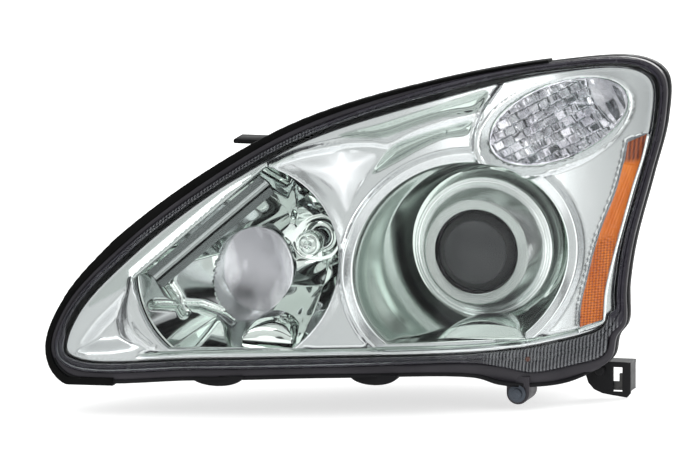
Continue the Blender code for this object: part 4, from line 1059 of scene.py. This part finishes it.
def make_bezel(mats):
    """The silver frame: one sheet with raised lips, recesses and ridges, pierced by the three lamps."""
    border = resampled(curve_through(BEZEL_EDGE, SPAN_STEPS), 1.6)
    low, high, turn = (resampled(loop, 1.6) for loop in (low_opening(), high_opening(), turn_ellipse()))
    loops = {
        "border": border, "low": low, "high": high,
        "upper": curve_through(UPPER_RECESS, 6), "side": curve_through(SIDE_RECESS, 6),
        "swoosh": curve_through(SWOOSH, 6, False), "star": curve_through(STAR_PANEL, 4),
        "corner": curve_through(CORNER_PANEL, 4), "band": curve_through(CORNER_BAND, 6, False),
        "crest": turn_crest(), "plateau": curve_through(TURN_PLATEAU, 4),
        "amber": amber_outline(0.9), "turn": turn,
    }
    guides = []
    rings = [low_opening(grow) for grow in (0.8, 1.7, 6.4, 7.4, 8.3)]
    rings += [high_opening(grow) for grow in (0.8, 2.2)]
    for ring in rings:
        guides += runs(resampled(ring, 1.8), border, turn)
    guides += runs(resampled(loops["crest"], 1.6), border, turn)
    for inset in (1.1, 2.6, 3.6, 5.0, 6.4, 8.0):
        guides += inset_runs(border, inset, [low, high, turn])
    guides.append((resampled(loops["swoosh"], 1.6, False), False))
    guides.append((resampled(loops["band"], 1.6, False), False))
    guides += runs(resampled(loops["amber"], 1.6), border, turn)
    at, faces = triangulated(border, [low, high, turn], guides, 1.9)
    front = lens_depth(at[:, 0], at[:, 1]) + BEZEL_DEPTH + bezel_relief(at, loops)
    data = walled(at, faces, front, BEZEL_WALL)
    face = piece("bezel_face", *data, mats["bezel"], LAMP, "silver_trim", "bezel", sharp=60)
    # Where the bezel is polished and painted darker as shade.
    mark(face, "polish_and_shade", np.tile(bezel_polish_and_shade(at, loops), 2))
    # The star panel's painted highlight.
    mark(face, "star_highlight", np.tile(star_painted_highlight(at, loops), 2))


def inset_runs(border, inset, holes):
    """The stretches of a line parallel to the border that keep clear of the holes."""
    along = np.roll(border, -1, axis=0) - np.roll(border, 1, axis=0)
    along /= np.linalg.norm(along, axis=1)[:, None]
    side = np.column_stack([along[:, 1], -along[:, 0]])
    line = border + side * inset
    if not inside(border, line[:1])[0]:
        line = border - side * inset
    good = depth_in(border, line) > inset - 0.2
    for hole in holes:
        good &= depth_in(hole, line) < -1.2
    return stretches(line, good)


def stretches(path, good):
    """The runs of good points of a closed path, as guide lines."""
    if good.all():
        return [(path, True)]
    start = int(np.argmin(good))
    found, run = [], []
    for point, kept in zip(np.roll(path, -start, axis=0), np.roll(good, -start)):
        if kept:
            run.append(point)
        elif run:
            found.append(run)
            run = []
    if run:
        found.append(run)
    return [(np.array(r), False) for r in found if len(r) > 3]


def runs(path, border, hole):
    """The stretches of a closed path that keep clear of the border and of a hole."""
    return stretches(path, (depth_in(border, path) > 1.2) & (depth_in(hole, path) < -1.2))


def make_amber(mats):
    """The side marker: a crowned blade, fluted at the top, with a fine pyramid grid over its lower half."""
    outline = resampled(amber_outline(), 0.9)
    at, faces = triangulated(outline, [], [], 0.55)
    edge = depth_in(outline, at)
    x, z = at[:, 0], at[:, 1]
    along, across = (z * 0.9 + x * 0.55) / 3.4, (x * 0.9 - z * 0.55) / 3.4
    pyramid = np.abs(along % 1 - 0.5) + np.abs(across % 1 - 0.5)
    flute = np.abs((x - z * 0.28) / 2.2 % 1 - 0.5)
    lower = rise(12.0 - z, 6.0) * rise(edge - 1.2, 1.0)
    middle = rise(z - 4.0, 6.0) * rise(edge - 1.0, 1.0)
    bar = rise(1.1 - np.abs(z + 52.5 - (x - 160) * 0.28), 0.7)
    step = rise(z - 66.0 + (x - 180.0) * 0.3, 1.0)
    relief = -1.3 * rise(edge, 3.0) + lower * 1.5 * pyramid * (1 - bar)
    relief += middle * 0.9 * flute + 1.2 * bar + 1.4 * step
    data = walled(at, faces, lens_depth(x, z) + 12.0 + relief, 5.0)
    blade = piece("amber_marker_blade", *data, mats["amber"], LAMP, "amber", "amber_side_marker", sharp=25)
    blade.visible_glossy = False
    make_marker_strip(mats)


def make_marker_strip(mats):
    """The bright strip outboard of the side marker, with a foot that turns inboard under it."""
    inner = curve_through(AMBER_OUTBOARD[1:], 8, closed=False) + (0.7, 0)
    width = np.interp(inner[:, 1], (-58, -30, 40, 90), (8.5, 6.0, 5.0, 4.0))
    outer = inner + np.column_stack([width, 0 * width])
    foot = np.array([(176.5, -62.5), (152.0, -67.5), (151.5, -64.8), (168.0, -60.0)])
    outline = resampled(np.vstack([inner[:1], outer, foot, inner[::-1][:-1]]), 0.9)
    at, faces = triangulated(outline, [], [], 0.9)
    front = lens_depth(at[:, 0], at[:, 1]) + 12.4 - 0.9 * rise(depth_in(outline, at), 1.4)
    data = walled(at, faces, front, 3.0)
    piece("marker_bright_strip", *data, mats["silver"], LAMP, "silver_trim", sharp=30)


# ---------------------------------------------------------------- low beam


def make_low_well(mats):
    """The deep chrome well round the projector."""
    rim = low_opening(0.3, 240)
    front = on_lens(rim, BEZEL_DEPTH + 3.5)
    foot = at_depth(circle(LOW_AXIS, LOW_FOOT_R, 240), LOW_FOOT_Y)
    hole = at_depth(circle(LOW_AXIS, LOW_HOLE_R, 240), LOW_HOLE_Y)
    wide = circle(LOW_OPENING, LOW_OPENING_R - 3.0, 240)
    narrow = foot[:, (0, 2)]
    rows = []
    for share in np.linspace(0, 1, 40):
        round_share = rise(share, 0.4)
        plan = rim * (1 - round_share) + (wide * (1 - share) + narrow * share) * round_share
        depth = front[:, 1] * (1 - share) + foot[:, 1] * share + 14.0 * math.sin(math.pi * share)
        rows.append(np.column_stack([plan[:, 0], depth, np.maximum(plan[:, 1], LOW_FLOOR_Z - 0.3)]))
    rows += [foot * (1 - share) + hole * share for share in np.linspace(0.1, 1, 6)]
    eye = (LOW_AXIS[0], -400, LOW_AXIS[1])
    bowl = skin("low_beam_bowl", rows, eye, mats["well"], LAMP, "chrome", "low_beam_well", sharp=50)
    thicken(bowl, 1.4)
    make_low_step(mats)


def make_low_step(mats):
    """The shallow dome-shaped step that stands on the floor of the low-beam opening."""
    x, z = 80.0, LOW_FLOOR_Z
    arches = ((0, 36, 1.0), (2, 36, 3.2), (7, 35, 10.0), (9, 34, 11.5), (30, 33, 14.0), (48, 29, 14.5))
    turns = np.linspace(0, math.pi, 48)
    rows = []
    for depth, half, height in arches:
        arch = np.column_stack([x + half * np.cos(turns), z + 0.6 + height * np.sin(turns) ** 0.8])
        row = at_depth(arch, lens_depth(x, z) + BEZEL_DEPTH + 3.0 + depth)
        row[:, 1] += (row[:, 0] - x) * SWEEP * 2.4
        rows.append(row)
    eye = (x, -900, 200)
    skin("low_beam_step", rows, eye, mats["well"], LAMP, "chrome", sharp=45, front="fan", back="fan")


def make_projector(mats):
    """Shroud, black holder and dome lens."""
    shroud = [
        (35.4, -138), (35.4, -139.6), (36.4, -140.2), (43.9, -140.7), (45.0, -139.6), (53.4, -114.5),
        (54.6, -114.2), (55.2, -112.2), (56.6, -112.4), (57.5, -114.2), (59.3, -113.6), (60, -110.5),
        (57, -106.5), (51, -105.5), (49, -92.8), (47.5, -92.8), (49, -107.5), (43.0, -137.6),
    ]
    data = turned(rounded(shroud, 0.7, 3), LOW_AXIS, 160)
    piece("projector_shroud_cone", *data, mats["shroud"], AIM, "silver_trim", "projector_shroud", sharp=50)
    holder = [
        (34.9, -137.2), (37.6, -136.4), (41, -96), (46, -92), (46, -88.3), (39, -88.3), (34.8, -126.5),
        (34.8, -132),
    ]
    data = turned(rounded(holder, 0.5, 2), LOW_AXIS, 128)
    piece("projector_lens_ring", *data, mats["black"], AIM, "black_plastic", "projector_lens_holder")
    angles = [math.pi / 2 * k / 25 for k in range(25)]
    profile = [(DOME_R * math.sin(angle), DOME_Y - DOME_RISE * math.cos(angle)) for angle in angles]
    profile += [(DOME_R, DOME_Y), (34.4, -132.2), (34.4, -130.5), (33.6, -128.0), (0.0, -128.0)]
    data = turned(profile, LOW_AXIS, 128)
    piece("projector_lens_dome", *data, mats["projector"], AIM, "lens_glass", "projector_lens")


# ---------------------------------------------------------------- high beam


def facets(value, period):
    """A saw-tooth between -0.5 and 0.5."""
    return (value / period) % 1 - 0.5


def scallops(value, period):
    """Shallow cups side by side, 0 at their shared edges and 1 in their middles."""
    return np.abs(np.sin(math.pi * value / period))


def make_high_reflector(mats):
    """The bowl, with its steps round the bulb, its creases and its seat for the dish, and its inner parts."""
    rim = on_lens(high_opening(2.0), BEZEL_DEPTH + 16.0)
    hub = at_depth(circle(HIGH_AXIS, HIGH_HUB_R, len(rim)), HIGH_HUB_Y)
    rows = []
    for share in np.linspace(0, 1, 130):
        row = rim + (hub - rim) * (share, 1 - (1 - share) ** 2, share)
        row[:, 1] += rise(share, 0.05) * rise(1 - share, 0.06) * high_relief(row, share)
        rows.append(row)
    rows.append(hub + (0, HIGH_HUB_DEPTH, 0))
    eye = (HIGH_AXIS[0], -400, HIGH_AXIS[1])
    bowl = skin("high_beam_bowl", rows, eye, mats["chrome"], AIM, "chrome", "high_beam_reflector", sharp=30)
    thicken(bowl, 2.0)
    make_high_dish(mats)
    make_high_trough(mats)
    make_high_step(mats)


def high_relief(row, share):
    """The steps' offset along Y at one ring of the bowl, its creases, and the seat for the dish."""
    at = row[:, (0, 2)]
    right = rise(at[:, 0] + 95.0 - (at[:, 1] - 17.0) * 0.12, 8.0)
    steps = -1.6 * scallops(np.full(len(at), share), 0.3)
    creases = [ridge(distance(line, at, False), 2.0) for line in HIGH_CREASES]
    relief = right * steps + (1 - right) * 3.5 * np.max(creases, axis=0)
    seat = rise(1.0 - np.hypot(*((at - DISH_MIDDLE) / DISH_HALF).T), 0.06)
    return relief * (1 - seat) + (DISH_SEAT_Y - row[:, 1]) * seat


def make_high_trough(mats):
    """The long trough along the opening's straight side, its chrome painted darker as shade."""
    start, end = np.array(HIGH_CHORD[0]), np.array(HIGH_CHORD[1])
    inward = np.array((end[1] - start[1], start[0] - end[0])) / np.linalg.norm(end - start)
    near, far = 1.5, 20.0
    across = np.linspace(near, far, 16)
    dip = 8.0 * np.sin(math.pi * (across - near) / (far - near))
    loops = []
    for along in np.linspace(0.06, 0.98, 40):
        line = start + (end - start) * along + inward * across[:, None]
        top = on_lens(line, BEZEL_DEPTH + 17.5 + dip)
        loops.append(np.vstack([top, top[::-1] + (0, 1.4, 0)]))
    eye = (-150, -900, 100)
    skin("high_beam_trough", loops, eye, mats["trough"], AIM, "chrome", sharp=50, front="fan", back="fan")


def make_high_dish(mats):
    """The plain oval dish inboard of the bulb, standing a little before the bowl."""
    ring = circle((0, 0), 1.0, 120) * DISH_HALF
    rows = []
    for share in np.linspace(0.99, 0.04, 18):
        rows.append(at_depth(ring * share + DISH_MIDDLE, DISH_Y + 4.0 * (1 - share**2)))
    eye = (DISH_MIDDLE[0], -900, DISH_MIDDLE[1])
    dish = skin("high_beam_dish", rows, eye, mats["pale_chrome"], AIM, "chrome", sharp=40, back="fan")
    thicken(dish, 1.2)


def make_high_step(mats):
    """The rounded block on the reflector's floor, below the bulb."""
    x, z = -91.0, HIGH_FLOOR_Z + 2.0
    arches = ((0, 21, 7.0), (1.5, 22, 12.0), (3, 22, 14.0), (12, 22, 19.0), (14, 22, 20.0), (36, 20, 22.0))
    cos, sin = np.cos(np.linspace(0, math.pi, 40)), np.sin(np.linspace(0, math.pi, 40))
    rows = []
    for depth, half, height in arches:
        arch = np.column_stack([x + half * cos * (0.8 + 0.2 * np.abs(cos)), z + height * sin**0.6])
        rows.append(at_depth(arch, lens_depth(x, z) + BEZEL_DEPTH + 19.0 + depth))
    eye = (x, -900, 200)
    skin("high_beam_step", rows, eye, mats["chrome"], AIM, "chrome", front="fan", back="fan")


def three_sided(data):
    """The disc with its middle pushed forward as a low pyramid with three sides."""
    points = np.array(data[0], float)
    across, up = points[:, 0] - HIGH_AXIS[0], points[:, 2] - HIGH_AXIS[1]
    reach = np.hypot(across, up)
    side = np.abs((np.degrees(np.arctan2(up, across)) + 30.0) % 120.0 - 60.0) / 60.0
    front = (reach < 7.2) & (points[:, 1] < -183.9)
    points[:, 1] -= np.where(front, 2.2 * side * np.clip(1 - reach / 9.0, 0, 1) * rise(reach, 3.0), 0.0)
    return points, data[1]


def make_high_bulb(mats):
    """The bulb's glass and the disc that hides its filament, on a strip leg."""
    x, z = HIGH_AXIS
    shield = [
        (0, -184.6), (3.0, -184.9), (3.6, -185.8), (7.0, -185.6), (7.6, -184.4), (9.2, -184.2),
        (10.4, -185.2), (11, -183.5), (11, -173), (10, -173), (10, -182), (5.6, -183.2), (0, -183.4),
    ]
    disc = three_sided(turned(rounded(shield, 0.4, 2, closed=False), HIGH_AXIS, 96))
    seat = [(6.8, -140.6), (9.5, -141.4), (13.4, -140.2), (13.4, -138.2), (6.8, -138.2)]
    data = turned(rounded(seat, 0.4, 2), HIGH_AXIS, 96)
    piece("high_bulb_collar", *data, mats["chrome"], "high_bulb", "chrome")
    leg = block((x - 2, -180, z - 11.6), (x + 2, -142, z - 10.2), 0.3)
    foot = block((x - 1.8, -143.4, z - 17), (x + 1.8, -142.2, z - 10.5), 0.3)
    piece("high_bulb_cap", *merged(disc, leg, foot), mats["chrome"], AIM, "chrome", "high_bulb_shield")
    glass = [
        (0, -176), (3.2, -175.6), (5.2, -174.2), (6.2, -171.8), (6.3, -170), (6.3, -139.3), (5.2, -139.3),
        (5.2, -170), (0, -174),
    ]
    data = turned(glass, HIGH_AXIS, 64)
    piece("high_bulb_envelope", *data, mats["bulb"], "high_bulb", "bulb_glass", "high_bulb_glass")


# ---------------------------------------------------------------- turn signal


def make_turn_signal(mats):
    """The chrome bowl with its own steps, and the prismatic inner lens."""
    count = 180
    rim = on_lens(turn_ellipse(grow=0.4, count=count), BEZEL_DEPTH + 7.5)
    hub = at_depth(circle(TURN_AXIS, TURN_HUB_R, count), TURN_HUB_Y)
    rows = []
    for share in np.linspace(0, 1, 50):
        row = rim * (1 - share) + hub * share
        row[:, 1] += 14.0 * math.sin(math.pi * share) + 3.0 * scallops(share, 0.2)
        rows.append(row)
    eye = (TURN_AXIS[0], -400, TURN_AXIS[1])
    bowl = skin("turn_signal_bowl", rows, eye, mats["chrome"], LAMP, "chrome", "turn_reflector", sharp=22)
    thicken(bowl, 1.4)
    outline = resampled(turn_ellipse(grow=-0.8), 1.2)
    at, faces = triangulated(outline, [], [], 0.75)
    front = lens_depth(at[:, 0], at[:, 1]) + BEZEL_DEPTH - 1.0 + prisms(at, outline)
    data = walled(at, faces, front, 2.2)
    lens = piece("turn_signal_prisms", *data, mats["prism"], LAMP, "turn_lens", "turn_inner_lens", sharp=15)
    lens.visible_glossy = False


def scatter(row, column, salt):
    """A fixed number between -0.5 and 0.5 for each cell."""
    seed = np.sin(row * 12.9898 + column * 78.233 + salt * 37.719) * 43758.5453
    return seed - np.floor(seed) - 0.5


def prisms(at, outline):
    """Blocks along the ellipse, each tilted its own way, and a smooth band at the outboard end."""
    edge = depth_in(outline, at)
    cos, sin = math.cos(TURN_TILT + PRISM_TURN), math.sin(TURN_TILT + PRISM_TURN)
    local = at - np.array(TURN_MIDDLE)
    u = local[:, 0] * cos + local[:, 1] * sin
    v = -local[:, 0] * sin + local[:, 1] * cos
    row = np.floor(v / PRISM_HIGH)
    along = u + row * 3.3 + 2.0 * scatter(row, 0.0, 5)
    column = np.floor(along / PRISM_WIDE)
    lean, tilt, kind = (scatter(row, column, salt) for salt in (0, 1, 2))
    across, up = facets(along, PRISM_WIDE), facets(v, PRISM_HIGH)
    fine = facets(u, 2.7) * (np.abs(kind) < 0.2)
    round_top = np.cos(across * math.pi) * (kind > 0.2)
    cell = 6.5 * lean * across + 6.0 * tilt * up + 1.8 * fine + 2.0 * round_top
    gap = np.minimum((0.5 - np.abs(across)) * PRISM_WIDE, (0.5 - np.abs(up)) * PRISM_HIGH)
    cell += 0.9 * rise(0.9 - gap, 0.9)
    past_seam = u - PRISM_BAND - PRISM_BAND_BEND * v**2
    band = rise(past_seam, 0.8)
    ribs = 0.25 * np.cos(v / 4.0) + 0.4 * scallops(u, 9.0)
    crown = -3.5 * rise(edge, 22.0)
    return crown + rise(edge - 1.0, 1.0) * (cell * (1 - band) + band * ribs - 1.2 * ridge(past_seam, 0.9))


# ---------------------------------------------------------------- what stays as CAD made it


# CAD nodes that keep their shape, by material, and the rounding of their edges.
KEPT = {
    "sealant": ("lens_sealant",),
    "black_steel": ("lower_mount_sleeve",),
    "bolt": ("lower_mount_bolt",),
    "steel": ("pivot_ball_stud", "projector_shutter", "projector_screw_1", "projector_screw_2",
              "projector_screw_3", "vertical_aim_screw", "horizontal_aim_screw"),
    "nylon": ("pivot_socket", "vertical_aim_nut", "horizontal_aim_nut"),
    "grey": ("aim_frame", "main_connector", "connector_latch"),
    "rubber": ("turn_lead", "marker_lead", "upper_vent_cap", "lower_vent_cap", "low_beam_cover_gasket",
               "high_beam_cover_gasket", "turn_gasket", "marker_gasket"),
    "black": ("bumper_bracket", "bracket_screw", "low_bulb_base", "high_bulb_base", "low_beam_cover",
              "high_beam_cover", "turn_socket", "marker_socket"),
    "aluminium": ("projector_reflector",),
    "bulb": ("low_bulb_glass", "turn_bulb", "marker_bulb"),
}
ROUNDING_USUAL = 0.35
ROUNDING = {"bumper_bracket": 0.8, "low_beam_cover": 1.0, "high_beam_cover": 1.0, "main_connector": 0.5}


def finish_cad_nodes(mats, frame):
    for kind, names in KEPT.items():
        for name in names:
            obj = frame["nodes"][name]
            obj.data.materials.clear()
            obj.data.materials.append(mats[kind])
            soften_node(obj, ROUNDING.get(name, ROUNDING_USUAL))


# ---------------------------------------------------------------- stage


def make_stage(low):
    """A plain pale floor just under the lamp."""
    m = Nodes("pale_floor")
    m.set(Base_Color=m.mix(m.drift(3.0), (0.52, 0.52, 0.52), (0.55, 0.55, 0.55)), Roughness=0.9)
    m.set(Emission_Color=(1.0, 1.0, 1.0), Emission_Strength=0.66, Specular_IOR_Level=0.1)
    mesh = bpy.data.meshes.new("floor")
    mesh.from_pydata([(-30, -30, 0), (30, -30, 0), (30, 30, 0), (-30, 30, 0)], [], [(0, 1, 2, 3)])
    mesh.materials.append(m.owner)
    floor = bpy.data.objects.new("floor", mesh)
    floor.location.z = low - 0.001
    bpy.context.scene.collection.objects.link(floor)
    floor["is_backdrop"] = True


def make_world():
    """A studio that the chrome sees: pale walls, a bright ceiling, and a few dark gaps between its panels."""
    w = Nodes("studio", world=True)
    x, y, z = w.node("SeparateXYZ", {0: w.place}).outputs
    turn = w.calc("ARCTAN2", x, w.calc("MULTIPLY", y, -1.0))
    light = w.spread(z, 0.55, 0.98, -0.5, 0.9)
    dark = 0.0
    for across, up in STUDIO_GAPS:
        dark = w.calc("MAXIMUM", w.calc("MULTIPLY", w.band(turn, *across), w.band(z, *up)), dark)
    seen = w.calc("MULTIPLY", light, w.spread(dark, 1.0, 0.10, 0.0, 1.0))
    glossy = w.node("LightPath").outputs["Is Glossy Ray"]
    w.set(Color=(0.985, 1.0, 0.992))
    w.set(Strength=w.node("Mix", {0: glossy, 2: 0.95, 3: seen}, data_type="FLOAT").outputs[0])
    bpy.context.scene.world = w.owner


def area_light(name, place, target, size, power):
    lamp = bpy.data.lights.new(name, "AREA")
    lamp.shape = "RECTANGLE"
    lamp.size, lamp.size_y = size
    lamp.energy = power
    obj = bpy.data.objects.new(name, lamp)
    obj.location = place
    obj.rotation_euler = (Vector(target) - Vector(place)).to_track_quat("-Z", "Y").to_euler()
    bpy.context.scene.collection.objects.link(obj)


def make_camera():
    """Far away with a long lens."""
    turn, height = math.radians(CAMERA_TURN), math.radians(CAMERA_RISE)
    back = Vector((math.sin(turn) * math.cos(height), -math.cos(turn) * math.cos(height), math.sin(height)))
    data = bpy.data.cameras.new("camera")
    data.lens, data.sensor_width = CAMERA_LENS, CAMERA_SENSOR
    data.clip_start, data.clip_end = 0.1, 100.0
    camera = bpy.data.objects.new("camera", data)
    camera.location = Vector(CAMERA_TARGET) * MM + back * CAMERA_SPAN * CAMERA_LENS / CAMERA_SENSOR
    camera.rotation_euler = (-back).to_track_quat("-Z", "Y").to_euler()
    bpy.context.scene.collection.objects.link(camera)
    bpy.context.scene.camera = camera


def main(frame):
    cad_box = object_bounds()
    mats = make_materials()
    make_outer_lens(mats)
    make_lens_rim(mats)
    make_housing(mats)
    make_hood_seal(mats)
    make_bezel(mats)
    make_amber(mats)
    make_low_well(mats)
    make_projector(mats)
    make_high_reflector(mats)
    make_high_bulb(mats)
    make_turn_signal(mats)
    finish_cad_nodes(mats, frame)
    make_stage(cad_box[0].z)
    make_world()
    for name, light in LIGHTS.items():
        area_light(name, *light)
    make_camera()
    bpy.context.scene.view_settings.view_transform = "Standard"


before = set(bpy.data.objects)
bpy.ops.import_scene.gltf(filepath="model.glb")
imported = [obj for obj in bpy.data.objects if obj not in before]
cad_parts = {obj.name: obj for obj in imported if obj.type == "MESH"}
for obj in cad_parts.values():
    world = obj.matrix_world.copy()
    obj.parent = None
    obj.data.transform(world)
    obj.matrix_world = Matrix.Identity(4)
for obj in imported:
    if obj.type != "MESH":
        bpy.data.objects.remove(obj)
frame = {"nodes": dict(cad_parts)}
main(frame)
